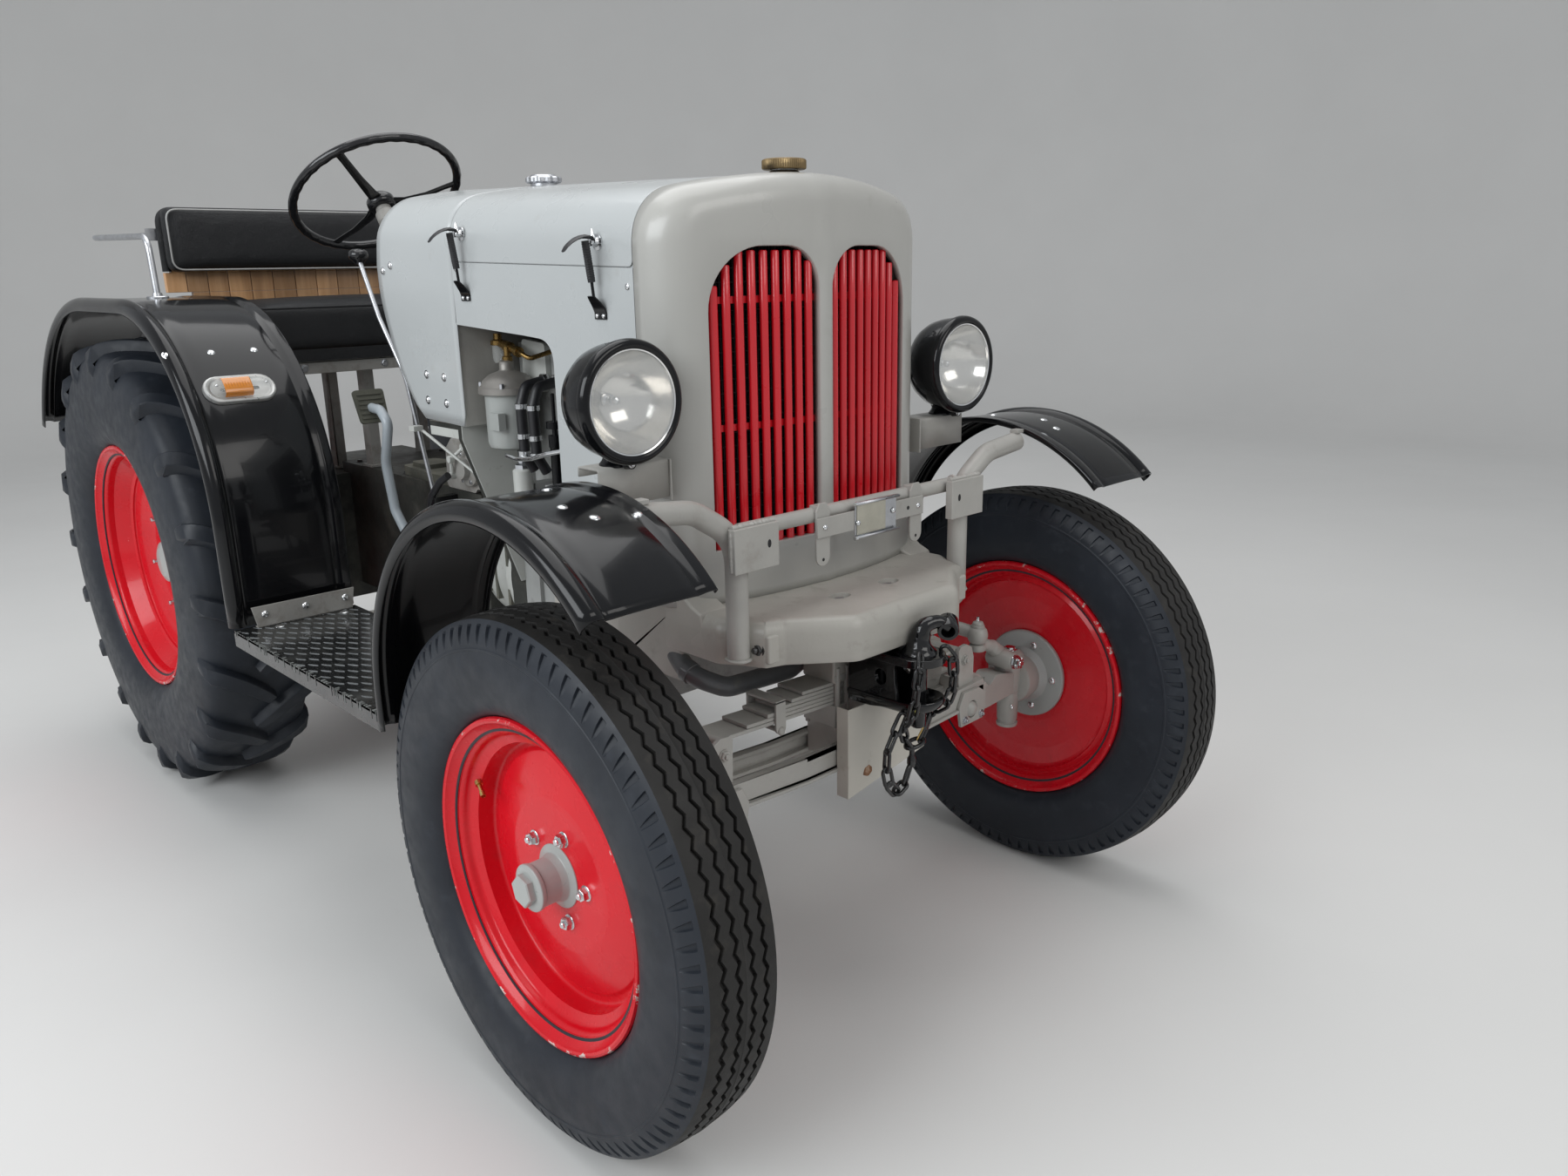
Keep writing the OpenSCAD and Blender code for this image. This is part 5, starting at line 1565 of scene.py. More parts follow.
def build_jaw():
    s = Shape()
    s.prism(nose(49, -66), "z", 690, 706)
    s.prism([(-50, -66), (-50, -140), (-42, -158), (42, -158), (50, -140), (50, -66)], "z", 700, 719.6)
    outline = rounded([(-66, 706), (-66, 592), (-120, 594), (-176, 604), (-186, 620), (-180, 650),
                       (-178, 680), (-190, 706)], [0, 6, 30, 16, 14, 30, 20, 0], 5)
    for sign in (-1, 1):
        s.join(holed(outline, (-146, 658), (14, 15), "x", sign * 45.5, sign * 35))
    make("jaw_walls", s, black_tar, stands=["tow_jaw"], bevel=3.5, steps=3)
    bowl = Shape()
    rows = []
    plan = nose(46, -66, 28)
    for f, low in ((0.02, 589), (0.5, 590), (0.86, 594), (0.97, 600), (1.03, 608), (1.05, 613), (1.02, 617),
                   (0.96, 616), (0.85, 609), (0.5, 604), (0.02, 604)):
        row = []
        for x, y in plan:
            front = max(0, min(1, (-y - 100) / 146))
            row.append((x * f, (y + 160) * f - 160 if y < -160 else y, low + (6 * front if f > 0.6 else 0)))
        rows.append(row)
    bowl.grid(rows)
    turns = [math.radians(a) for a in range(0, 181, 15)]
    back = [(36 * math.cos(a), -118 + 34 * math.sin(a)) for a in turns]
    bowl.grid([[(x, y, z) for x, y in back] for z in (596, 640, 700)])
    make("jaw_bowl", bowl, black_tar, smooth=60)
    pin = Shape()
    at = on((0, JAW_Y, 0), UP)
    pin.lathe([(0, 561), (11, 561), (15, 565), (16, 600), (16, 704)], at, 32)
    pin.lathe([(33, 706.5), (32, 711), (26, 716), (21, 724), (19, 736), (15, 748), (0, 750)], at, 36)
    path = fillet([(0, JAW_Y, 726), (4, JAW_Y - 4, 758), (30, JAW_Y - 18, 764), (48, JAW_Y - 28, 752)],
                  [0, 24, 24, 0], 9)
    pin.tube(path, [19 - 6.5 * min(1, i / 12) for i in range(len(path))], 24)
    eye = on((50, JAW_Y - 26, 750), (-0.72, -0.62, -0.3))
    pin.lathe([(0.01, -6), (12.5, -6), (13, 17), (18.5, 18), (20, 15), (20, -16), (16, -20), (0, -20)], eye,
              32)
    make("jaw_pin", pin, black_tar, smooth=50)
    spots = Shape()
    for c, axis, r in (((38.2, JAW_Y - 30.5, 699), (0.78, -0.62, 0), 6.5),
                       ((42, JAW_Y - 25, 694), (0.85, -0.5, 0), 4),
                       ((-38, JAW_Y - 28.6, 609), (-0.8, -0.6, -0.1), 4.5)):
        spots.lathe([(r * 0.9, -0.6), (r, 0.25), (0, 0.4)], on(c, axis), 9)
    make("paint_spots", spots, yellow_paint)


def oval_link(s, p, q, roll=0.0, wire=3.7, half=8.2):
    """One chain link around the line from p to q, which are where it hooks into its neighbours."""
    p, q = Vector(p), Vector(q)
    length = (q - p).length / 2 + wire * 0.9 - half
    at = on((p + q) / 2, q - p, roll)
    path = [(half * math.cos(a), 0, length + half * math.sin(a)) for a in angles(16, 9)]
    path += [(half * math.cos(a), 0, -length + half * math.sin(a)) for a in angles(16)[8:] + [math.tau]]
    s.tube([at @ Vector(v) for v in path], wire, 10, closed=True)


def build_pipe():
    s = Shape()
    path = fillet([(-252, 210, 690), (-300, 96, 668), (-238, 66, 634), (-76, 64, 628), (30, 96, 640),
                   (60, 190, 690)],
                  [0, 60, 60, 60, 60, 0], 7)
    s.tube(path, 19, 24)
    for i in (3, len(path) - 4):
        a, b = path[i], path[i + 1]
        s.lathe([(19.4, -9), (21.5, -8), (21.5, 8), (19.4, 9)], on((a + b) / 2, b - a), 28)
    make("lower_pipe", s, pipe_grey, smooth=50)


def build_chains():
    s = Shape()
    for turn, strand in enumerate(STRANDS):
        for i, (p, q) in enumerate(zip(strand, strand[1:])):
            oval_link(s, p, q, (0 if (i + turn) % 2 else 90) + 20)
    for strand in FRONT_STRANDS:
        for i, (p, q) in enumerate(zip(strand, strand[1:])):
            oval_link(s, p, q, (0 if i % 2 else 90) + 25)
    # ring and swivel that join the strands
    ring = [(-2 + 22 * math.cos(a), -195 + 13 * math.sin(a), 526 + 3 * math.cos(a))
            for a in angles(20)]
    s.tube(ring, 4.2, 12, closed=True)
    s.lathe([(0, -2), (7, -2), (8.5, 4), (8.5, 14), (5, 20), (5, 34), (8, 38), (0, 40)],
            on((-10, -194, 484), (0.05, 0, 1)), 20)
    make("chain", s, chain_black, stands=["tow_chain"], smooth=60)
    clip = Shape()
    clip.tube(fillet([(-4, -210, 592), (8, -208, 574), (10, -204, 556), (2, -202, 544), (-2, -200, 534)], 8,
                     4), 1.6, 8)
    make("chain_clip", clip, clean_brass)


def build_guard():
    s = Shape()
    s.prism([(-72, 400), (156, 440), (156, 584), (-72, 584)], "y", -92, -89.4)
    s.prism([(-92, 400), (-62, 400), (-62, 584), (-92, 584)], "x", -74, -71.4)
    make("guard_sheet", s, plate_grey, stands=["guard_plate"], bevel=1)
    hold = Shape()
    hold.box((-20, 20), (-90, -42), (556, 580))
    hold.bolt((60, -92.2, 566), AHEAD, 7, 5)
    make("guard_hold", hold, frame_grey, bevel=1)
    stain = Shape()
    rng = random.Random(4)
    rim = [(14 * (0.8 + 0.35 * rng.random()) * math.cos(a), 11 * (0.8 + 0.35 * rng.random()) * math.sin(a))
           for a in angles(14)]
    stain.put([(x - 18, -92.15, z + 443) for x, z in rim], [list(range(14))])
    make("guard_stain", stain, rust)


def leaf_line(x):
    return 574 + max(0, abs(x) - 50) * 0.043


def build_spring():
    s = Shape()
    for i, half in enumerate((336, 279, 228, 196, 166, 137)):
        xs = [-half + 2 * half * k / 12 for k in range(13)]
        z = i * 7.8
        outline = [(x, leaf_line(x) + z) for x in xs] + [(x, leaf_line(x) + z + 7.4) for x in xs[::-1]]
        s.prism(outline, "y", -35 + 0.6 * (i % 2), 35 - 0.6 * (i % 2))
    make("leaves", s, frame_grey, stands=["leaf_spring"], bevel=1.6)
    c = Shape()
    c.box((-58, 58), (-43, 43), (528, 573.8))
    c.box((-58, 58), (-43, 43), (620.8, 636))
    for x in (-48, -22, 22, 48):
        for y in (-39, 39):
            c.lathe([(6, 520), (6, 650), (0, 651)], on((x, y, 0), UP), 14)
    make("spring_seat", c, frame_grey, bevel=2)
    # clip around the leaves
    small = Shape()
    x, half = 199.5, 12.5
    for y in (-38.2, 38.2):
        outline = [(x - half, 624), (x - half, 572)] + arc((x, 572), half, 180, 360, 8) + [(x + half, 624)]
        small.prism(outline, "y", y - 2.4, y + 2.4)
    small.box((x - half, x + half), (-40.6, 40.6), (621, 625.6))
    small.lathe([(5, -44), (5, 44), (0, 44.5)], on((x, 0, 566), BACK), 14)
    small.dome((x, -41, 566), AHEAD, 8.5, 4.5)
    # eye, shackle plates and their bolts
    small.lathe([(0, -37), (12.5, -37), (12.5, 37), (0, 37)], on((338, 0, 582), BACK), 24)
    shackle = [(327, 510), (369, 492), (378, 505), (378, 566), (370, 590), (352, 600), (331, 598),
               (325, 590)]
    for y in (-47, 39):
        small.prism(shackle, "y", y, y + 8)
    small.bolt((346, -47, 566), AHEAD, 10, 7, washer=1.2, stud=4)
    make("spring_links", small.mirrored(), frame_grey, bevel=1.5)


def build_axle():
    s = Shape()
    rise = math.tan(math.radians(3))

    def beam_line(z, ends=404):
        return [(-ends, z + (ends - 150) * rise), (-150, z), (150, z), (ends, z + (ends - 150) * rise)]
    for side in (-1, 1):
        face = 58 * side
        s.prism(beam_line(499) + beam_line(455)[::-1], "y", face - 9 * side, face)
        for z0 in (455, 491):
            s.prism(beam_line(z0 + 8) + beam_line(z0)[::-1], "y", 38 * side, face)
        s.prism(beam_line(457, 396) + beam_line(450, 396)[::-1], "y", face, face + 7 * side)
    s.box((-50, 50), (-41, 41), (457, 527.7))
    make("axle_beams", s, frame_grey, stands=["front_axle"], bevel=2)
    arm = Shape()
    web = [(388, 418), (384, 500), (404, 516), (428, 508), (469, 466), (496, 488), (590, 470), (590, 424),
           (520, 420), (465, 416)]
    arm.prism(rounded(web, [8, 14, 14, 12, 12, 14, 6, 8, 26, 26], 5, closed=True), "y", -27, 27)
    plate = [(322, 501), (306, 470), (314, 424), (391, 426), (400, 450), (398, 486), (376, 500)]
    arm.join(holed(plate, (352, 456), (17, 20), "y", -67, -58.3))
    arm.box((384, 412), (-58, 58), (446, 500))
    arm.mirrored()
    make("axle_arms", arm, frame_grey, bevel=4, steps=3)
    eye = Shape()
    eye.lathe([(0, 420), (27, 420), (30, 424), (30, 486), (27, 490), (0, 490)], on((578, 0, 0), UP), 40)
    eye.lathe([(0, -60), (17, -60), (17.5, -64), (12, -70), (9, -73), (0, -74)], on((352, 0, 456), BACK), 28)
    eye.mirrored()
    make("axle_eyes", eye, frame_grey, smooth=40)
    bolts = Shape()
    for x, z in ((326, 438), (384, 438)):
        bolts.bolt((x, -67, z), AHEAD, 7, 5, stud=4)
    bolts.mirrored()
    make("axle_bolts", bolts, zinc)


def knuckle_shape():
    s = Shape()
    # spindle root, upper boss, lower pin
    s.lathe([(0, 586), (48, 586), (54, 590), (57, 602), (53, 628), (50, 646), (44, 654), (0, 654)],
            on((0, 0, 445), LEFT), 48)
    s.lathe([(0, 491), (31, 491), (33, 496), (32, 508), (27, 516), (20, 520), (0, 521)], on((585, 0, 0), UP),
            40)
    s.lathe([(0, 420), (26, 420), (25, 400), (24, 350), (21, 345), (21.5, 343), (25, 341), (24.5, 334),
             (18, 331), (0, 331)],
            on((582, 0, 0), UP), 40)
    s.lathe([(0, 26), (17, 26), (21, 20), (22, 0), (21.5, -34), (19, -38), (18.4, -42), (16, -44), (0, -44)],
            on((540, 0, 511), BACK), 40)
    s.tube(fillet([(560, 0, 470), (566, 0, 500), (585, 0, 505)], 12, 4), 22, 20)
    # arm to the rear with the cross rod's eye
    path = fillet([(585, 20, 430), (588, 70, 422), (585, 118, 418)], 30, 5)
    s.tube(path, [20, 19, 17, 15, 14, 13, 13, 13][:len(path)], 20)
    s.lathe([(0, 403.5), (19, 403.5), (20, 407), (20, 420), (17, 424), (0, 424)], on((585, 140, 0), UP), 28)
    return s


def castle_nut(s, centre, axis, size=15, high=16):
    at = on(centre, axis, 12)
    s.lathe([(0, 0), (size * 1.12, 0), (size * 1.12, 2.4), (0, 2.4)], at, 24)
    s.lathe([(0, 2.4), (size, 2.4), (size, high * 0.62), (size * 0.6, high * 0.66), (0, high * 0.66)], at, 6)
    for k in range(6):
        turn = at @ Matrix.Rotation(math.tau * (k + 0.5) / 6, 4, "Z")
        s.box((size * 0.48, size * 0.84), (-size * 0.26, size * 0.26), (high * 0.6, high), at=turn)
    s.lathe([(size * 0.46, high * 0.6), (size * 0.46, high * 1.08), (size * 0.36, high * 1.16),
             (0, high * 1.16)], at, 16)


def build_knuckles():
    for side, body, name in ((1, "steer_body_left", "knuckle_left"),
                             (-1, "steer_body_right", "knuckle_right")):
        s = knuckle_shape()
        if side > 0:
            path = fillet([(548, 4, 520), (510, 2, 546), (484, 0, 556), (452, 0, 557)], [0, 20, 20, 0], 5)
            s.tube(path, [17 - 6 * i / (len(path) - 1) for i in range(len(path))], 20)
            s.lathe([(0, 550), (17, 550), (19, 554), (18, 564), (13, 567.5), (0, 567.5)],
                    on((455, 0, 0), UP), 28)
        for v in s.verts:
            v.x *= side
        make(name + "_body", s, frame_grey, body=body, stands=[name], smooth=42)
        small = Shape()
        castle_nut(small, (540, -44, 511), AHEAD)
        small.lathe([(17.5, 520.5), (17.5, 522.5), (13, 523.5), (12, 527), (0, 528)], on((585, 0, 0), UP),
                    24)
        small.lathe([(4, 0), (4, 3), (2.5, 4), (3.2, 6), (3.2, 9), (0, 10)],
                    on((568, -20, 388), (-0.55, -0.83, 0)), 12)
        for v in small.verts:
            v.x *= side
        make(name + "_nut", small, bright, body=body, smooth=30)


def rod_end(s, centre, r=20):
    x, y, z = centre
    s.lathe([(0, z - 11), (r * 0.8, z - 11), (r, z - 7), (r, z + 6), (r * 0.8, z + 10), (0, z + 11)],
            on((x, y, 0), UP), 28)


def build_rods():
    s = Shape()
    s.tube([(-585, 140, 392), (-300, 140, 392), (300, 140, 392), (585, 140, 392)], 11, 24)
    for x in (-585, 585):
        rod_end(s, (x, 140, 392))
        sign = 1 if x > 0 else -1
        s.tube([(x - 26 * sign, 140, 392), (x - 74 * sign, 140, 392)], 14.5, 24)
        s.bolt((x, 140, 381), DOWN, 11, 10, stud=5)
    make("cross_rod", s, frame_grey, body="cross_rod", stands=["track_rod"], smooth=42)
    s = Shape()
    ball = (455, 0, 589.3)
    profile = [(12, 567.8), (17, 569), (21.5, 576), (23, 584), (23, 590), (20.5, 599), (16, 604),
               (15, 604.6), (15.4, 606), (14.6, 610), (12.4, 611), (12.8, 613), (11, 617), (6.5, 619),
               (0, 619)]
    s.lathe([(0, 567.8)] + profile, on((ball[0], ball[1], 0), UP), 36)
    end = (245.3, 992, 705)
    a, b = Vector(ball), Vector(end)
    s.tube([a, a.lerp(b, 0.06), a.lerp(b, 0.09), a.lerp(b, 0.11)], [15, 15, 15, 11], 24)
    s.tube([a.lerp(b, 0.1), a.lerp(b, 0.5), b], 11, 20)
    s.tube([a.lerp(b, 0.93), b], 14, 20)
    s.lathe([(0, -12), (16, -12), (18, -9), (18, 9), (16, 12), (0, 12)], on((245.3, 1000, 705), LEFT), 28)
    make("side_rod", s, frame_grey, body="side_rod", stands=["drag_link"], smooth=42)
    s = Shape()
    s.lathe([(4.2, 619), (4.2, 623), (2.6, 624), (3.4, 626), (3.4, 628), (0, 630)], on((455, 0, 0), UP), 12)
    make("ball_nipple", s, bright, body="side_rod")
    s = Shape()
    outline = arc((1000, 905), 27, 0, 180, 14) + arc((1000, 705), 17, 180, 360, 12)
    s.prism(outline, "x", 218, 232)
    s.lathe([(0, 214), (26, 214), (26, 236), (22, 240), (0, 240)], on((0, 1000, 905), LEFT), 32)
    s.bolt((240, 1000, 905), LEFT, 16, 12, stud=5)
    make("drop_arm_plate", s, frame_grey, body="steer_arm", stands=["drop_arm"], bevel=2)


# Footboards

def tread_bar(s, x, y, angle, z):
    ux, uy = math.cos(angle), math.sin(angle)
    points = []
    for grow, half, w in ((-0.3, 13.5, 3.6), (1.5, 11.5, 1.7)):
        for a, b in ((-1, 0), (-0.5, -1), (0.5, -1), (1, 0), (0.5, 1), (-0.5, 1)):
            points.append((x + ux * a * half - uy * b * w, y + uy * a * half + ux * b * w, z + grow))
    s.put(points, [tuple(range(6, 12))] + [(k, (k + 1) % 6, (k + 1) % 6 + 6, k + 6) for k in range(6)], 1)


def build_boards():
    s = Shape()
    s.box((-736, -455), (455.4, 1174.6), (614, 619.8))
    for i in range(-30, 30):
        for j in range(-40, 40):
            x = -600 - 16 * i + 19 * j
            y = 800 - 35 * i - 20 * j
            if -728 < x < -460 and 466 < y < 1164:
                tread_bar(s, x, y, math.radians(-62), 619.8)
    s.box((-736, -732), (455.4, 1174.6), (584, 619.9))
    s.box((-459, -455), (455.4, 1174.6), (584, 619.9))
    rng = random.Random(7)
    y = 458.0
    while y < 1170:
        step = 3 + 7 * rng.random()
        kind = 2 if rng.random() < 0.6 else 0
        s.box((-736.4, -727 - 6 * rng.random()), (y, y + step), (619, 620.4 + 0.9 * rng.random()), kind)
        if rng.random() < 0.4:
            s.box((-736.6, -735), (y, y + step * 0.7), (600 + 12 * rng.random(), 620), kind)
        y += step + 2 + 3 * rng.random()
    make("footboard_plates", s.mirrored(), [board_black, worn_black, scuffed],
         stands=["footboards"], smooth=30)
    b = Shape()
    for x, y in ((195.3, 600), (160.3, 1080)):
        b.box((x, 718), (y, y + 40), (607, 613.6))
        b.box((x, 718), (y, y + 6), (572, 613))
        b.prism([(x, 566), (x + 70, 566), (470, 600), (470, 608), (x, 608)], "y", y + 34, y + 39.6)
    make("board_brackets", b.mirrored(), angle_grey, bevel=1.5)
    a = Shape()
    a.prism([(-690, 620.6), (-470, 620.6), (-462, 670), (-700, 670)], "y", 1150, 1154)
    a.box((-690, -470), (1150, 1168), (620.2, 623))
    for x in (-672, -580, -486):
        a.dome((x, 1150, 650), AHEAD, 8.5, 5.5, mat=1, n=20)
    for x in (-650, -500):
        a.dome((x, 1132, 619.8), UP, 11, 3, mat=1, n=20)
    make("fender_angles", a.mirrored(), [angle_grey, bright], bevel=0.8)


# Seat

def build_seat_wood():
    s = Shape()
    joints = [-500, -442, -386, -331, -268, -206, -141, -78, -14, 52, 117, 181, 244, 307, 369, 430, 500]
    tones = (1, 2, 0, 1, 0, 2, 0, 1, 2, 0, 1, 0, 2, 1, 0, 1)
    for i, (a, b) in enumerate(zip(joints, joints[1:])):
        s.box((max(a, -496) + 1, min(b, 496) - 1), (2062.2, 2081.8), (1346, 1399), tones[i])
        s.box((max(a, -480) + 1, min(b, 480) - 1), (2062.2, 2081.8), (1398.9, 1556), tones[i])
        if 0 < i < 15:
            s.box((max(a, -430) + 1, min(b, 430) - 1), (2062.4, 2081.4), (1150, 1345.6), tones[i])
    make("seat_planks", s, planks, stands=["seat_boards"], bevel=1.4)
    board = Shape()
    for a, b in ((1606, 1714), (1716, 1830), (1832, 1946), (1948, 2062)):
        board.box((-430, 430), (a, b), (1168.4, 1186))
    make("seat_base", board, wood, bevel=1.5)
    f = Shape()
    for y, lip in ((1604, 1604), (2020, 2054)):
        f.box((-430, 430), (y, y + 36), (1163, 1168.2))
        f.box((-430, 430), (lip, lip + 5), (1136, 1168))
    for x in (-150, 120):
        f.box((x, x + 30), (1640, 2020), (1140, 1163))
        for y, low in ((1900, 830.3), (1660, 860.3)):
            f.box((x, x + 5), (y, y + 40), (low, 1142))
            f.box((x, x + 30), (y, y + 5), (low, 1142))
            f.box((x - 8, x + 38), (y - 8, y + 48), (low, low + 8))
    make("seat_stand", f, angle_grey, stands=["seat_frame"], bevel=1.5)
    small = Shape()
    for x in (-330, -110, 110, 330):
        small.dome((x, 2081.8, 1360), BACK, 7, 3)
        small.dome((x, 2081.8, 1190), BACK, 7, 3)
        small.bolt((x, 1604, 1152), AHEAD, 8, 5)
    make("seat_bolts", small, zinc)


def cushion(name, x, y, z, edge, crown, cell, push, most, node_name):
    """A padded block, crowned on its faces, whose cover is blown up by a cloth run and stays flat below."""
    counts = [max(4, round((b - a) / cell)) for a, b in (x, y, z)]
    spans = (x, y, z)
    bm = bmesh.new()
    seen = {}

    def point(i, j, k):
        key = (i, j, k)
        if key not in seen:
            p = [spans[d][0] + (spans[d][1] - spans[d][0]) * key[d] / counts[d] for d in range(3)]
            inner = [min(max(p[d], spans[d][0] + edge), spans[d][1] - edge) for d in range(3)]
            off = Vector(p) - Vector(inner)
            if off.length > edge:
                off = off.normalized() * edge
            p = Vector(inner) + off
            t = [2 * key[d] / counts[d] - 1 for d in range(3)]
            swell = [1 - abs(v) ** 2.6 for v in t]
            for d in range(3):
                others = swell[(d + 1) % 3] * swell[(d + 2) % 3]
                if abs(t[d]) == 1:
                    p[d] += t[d] * crown[d] * others
            seen[key] = bm.verts.new(to_row(p))
        return seen[key]
    for d in range(3):
        u, v = (d + 1) % 3, (d + 2) % 3
        for side in (0, counts[d]):
            for a in range(counts[u]):
                for b in range(counts[v]):
                    corners = []
                    for da, db in ((0, 0), (1, 0), (1, 1), (0, 1)):
                        key = [0, 0, 0]
                        key[d], key[u], key[v] = side, a + da, b + db
                        corners.append(point(*key))
                    bm.faces.new(corners)
    bmesh.ops.recalc_face_normals(bm, faces=bm.faces)
    mesh = bpy.data.meshes.new(name)
    bm.to_mesh(mesh)
    bm.free()
    mesh.materials.append(vinyl)
    mesh.shade_smooth()
    obj = bpy.data.objects.new(name, mesh)
    bpy.context.scene.collection.objects.link(obj)
    blow(obj, push, most / 1000)
    low = to_row((0, 0, z[0])).z
    for p in mesh.vertices:
        p.co.z = max(p.co.z, low)
    s = obj.modifiers.new("sub", "SUBSURF")
    s.levels = 1
    s.render_levels = 1
    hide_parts(node_name)
    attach(obj, "chassis")
    return obj


def blow(obj, push, most):
    start = [p.co.copy() for p in obj.data.vertices]
    cloth = obj.modifiers.new("air", "CLOTH")
    cloth.settings.use_pressure = True
    cloth.settings.uniform_pressure_force = push
    cloth.settings.effector_weights.gravity = 0
    cloth.point_cache.frame_start = 1
    cloth.point_cache.frame_end = 20
    scene = bpy.context.scene
    for frame_number in range(1, 21):
        scene.frame_set(frame_number)
    seen = obj.evaluated_get(bpy.context.evaluated_depsgraph_get())
    blown = [p.co.copy() for p in seen.to_mesh().vertices]
    seen.to_mesh_clear()
    obj.modifiers.remove(cloth)
    scene.frame_set(1)
    for p, a, b in zip(obj.data.vertices, start, blown):
        step = b - a
        if step.length > most:
            step *= most / step.length
        p.co = a + step


def build_seat():
    cushion("seat_pad", (-424, 424), (1602, 2044), (1186.6, 1312), 26, (2, 3, 12), 15, 3, 7, "seat_cushion")
    cushion("back_pad", (-498, 498), (2004, 2061.4), (1398, 1572), 24, (1, 6, 1), 13, 3, 5, "seat_back")
    roll = Shape()
    roll.tube(fillet([(-487, 2068, 1402), (-487, 2068, 1560), (487, 2068, 1560), (487, 2068, 1402)],
                     [0, 34, 34, 0], 8),
              12, 20)
    make("back_roll", roll, vinyl, smooth=60)
    p = Shape()
    loop = fillet([(-489, 2003, 1406), (489, 2003, 1406), (489, 2003, 1563), (-489, 2003, 1563)], 30, 6,
                  closed=True)
    p.tube(loop, 2.4, 10, closed=True)
    make("back_piping", p, piping)
    q = Shape()
    loop = fillet([(-422, 1600, 1306), (422, 1600, 1306), (422, 2040, 1306), (-422, 2040, 1306)], 34, 6,
                  closed=True)
    q.tube(loop, 3.4, 10, closed=True)
    q.box((-428, 428), (1598, 1604), (1168.8, 1200))
    make("seat_welt", q, vinyl)
    a = Shape()
    for x in (-600, 600):
        side = 1 if x > 0 else -1
        a.tube(fillet([(x, 1800, 1336), (x, 1812, 1488), (x, 2286, 1496), (x - 86 * side, 2286, 1498),
                       (x - 96 * side, 2083, 1500)], [0, 46, 34, 34, 0], 8), 8, 20)
        a.box(sorted((x - 78 * side, x - 118 * side)), (2082, 2087), (1484, 1516))
        a.lathe([(0, 1335.4), (26, 1335.4), (26, 1340), (24, 1342), (12, 1342.5), (11, 1350), (0, 1350)],
                on((x, 1800, 0), UP), 32)
    make("arm_bars", a, zinc, stands=["armrests"], smooth=40)


# Steering and controls

def build_steering():
    lean = math.radians(35.6)
    axis = (0, math.sin(lean), math.cos(lean))
    centre = Vector((-100, 1560, 1588))
    at = on(centre, axis)
    s = Shape()
    rim = []
    for a in angles(144):
        row = []
        for b in angles(16):
            r = 11.5 - (1.6 * (0.5 + 0.5 * math.cos(a * 36)) if 200 < math.degrees(b) < 340 else 0)
            row.append((math.cos(a) * (215 + r * math.cos(b)), math.sin(a) * (215 + r * math.cos(b)),
                        r * math.sin(b)))
        rim.append(row)
    s.grid(rim, closed_rows=True, closed_cols=True, at=at)
    s.lathe([(0, -44), (30, -44), (36, -38), (36, -20), (30, -12), (0, -10)], at, 48)
    s.lathe([(24, -12), (24, -7), (20, -4), (0, -2)], at, 40)
    for k in range(3):
        turn = at @ Matrix.Rotation(math.radians(45 + 120 * k), 4, "Z")
        rows = []
        for r, z, w, t in ((28, -27, 17, 5), (60, -30, 14, 4.5), (120, -22, 11, 4), (180, -6, 10, 4),
                           (207, 0, 11, 5)):
            rows.append([(r, w * math.cos(b), z + t * math.sin(b)) for b in angles(14)])
        s.grid(rows, closed_cols=True, at=turn)
    make("wheel_rim", s, black_wheel, body="hand_wheel", stands=["steering_wheel"],
         smooth=50)
    c = Shape()
    c.lathe([(0, -757), (30, -757), (30, -722), (22, -716), (22, -90), (26, -86), (26, -60), (20, -54),
             (20, -44.5), (0, -44.5)], at, 40)
    box = [(960, 880), (968, 872), (1070, 872), (1080, 861), (1212, 861), (1220, 870), (1214, 960),
           (1180, 990), (1040, 986), (968, 950)]
    c.prism(rounded(box, 14, 4, closed=True), "x", -158, -42)
    c.lathe([(0, 0), (46, 0), (46, 12), (40, 16), (26, 18), (26, 34), (0, 34)], on((-158, 1090, 925), RIGHT),
            36)
    for a in angles(6):
        c.bolt((-171, 1090 + 38 * math.cos(a), 925 + 38 * math.sin(a)), RIGHT, 6, 5, mat=1, washer=0)
    c.lathe([(0, -63), (20, -63), (20, 213.6), (0, 213.6)], on((0, 1000, 905), LEFT), 28)
    make("column_tube", c, [angle_grey, zinc], stands=["steering_column"], bevel=1.5,
         smooth=40)
    b = Shape()
    b.lathe([(0, 0), (9, 0), (9, 10), (6, 14), (4, 22), (0, 23)],
            on(at @ Vector((-34, 26, -80)), (-0.6, -0.5, 0.6)), 20)
    b.tube([at @ Vector((-20, 14, -84)), at @ Vector((-34, 26, -80))], 5, 12)
    make("column_fitting", b, bright)


def pad(s, centre, tilt, mat):
    """A pedal's ribbed pad on its arm."""
    at = Matrix.Translation(Vector(centre)) @ Matrix.Rotation(math.radians(tilt), 4, "X")
    outline = rounded([(-36, -42), (36, -42), (40, 42), (-40, 42)], 9, 3, closed=True)
    s.prism(outline, "z", 0, 8, mat, at @ Matrix.Rotation(math.radians(90), 4, "X"))
    for k in range(6):
        z = -32 + 12 * k
        s.box((-31, 31), (-10.2, -7.5), (z, z + 5), mat, at)
    s.bolt(at @ Vector((14, -8, -6)), at.to_3x3() @ Vector(AHEAD), 8, 7, mat=3)


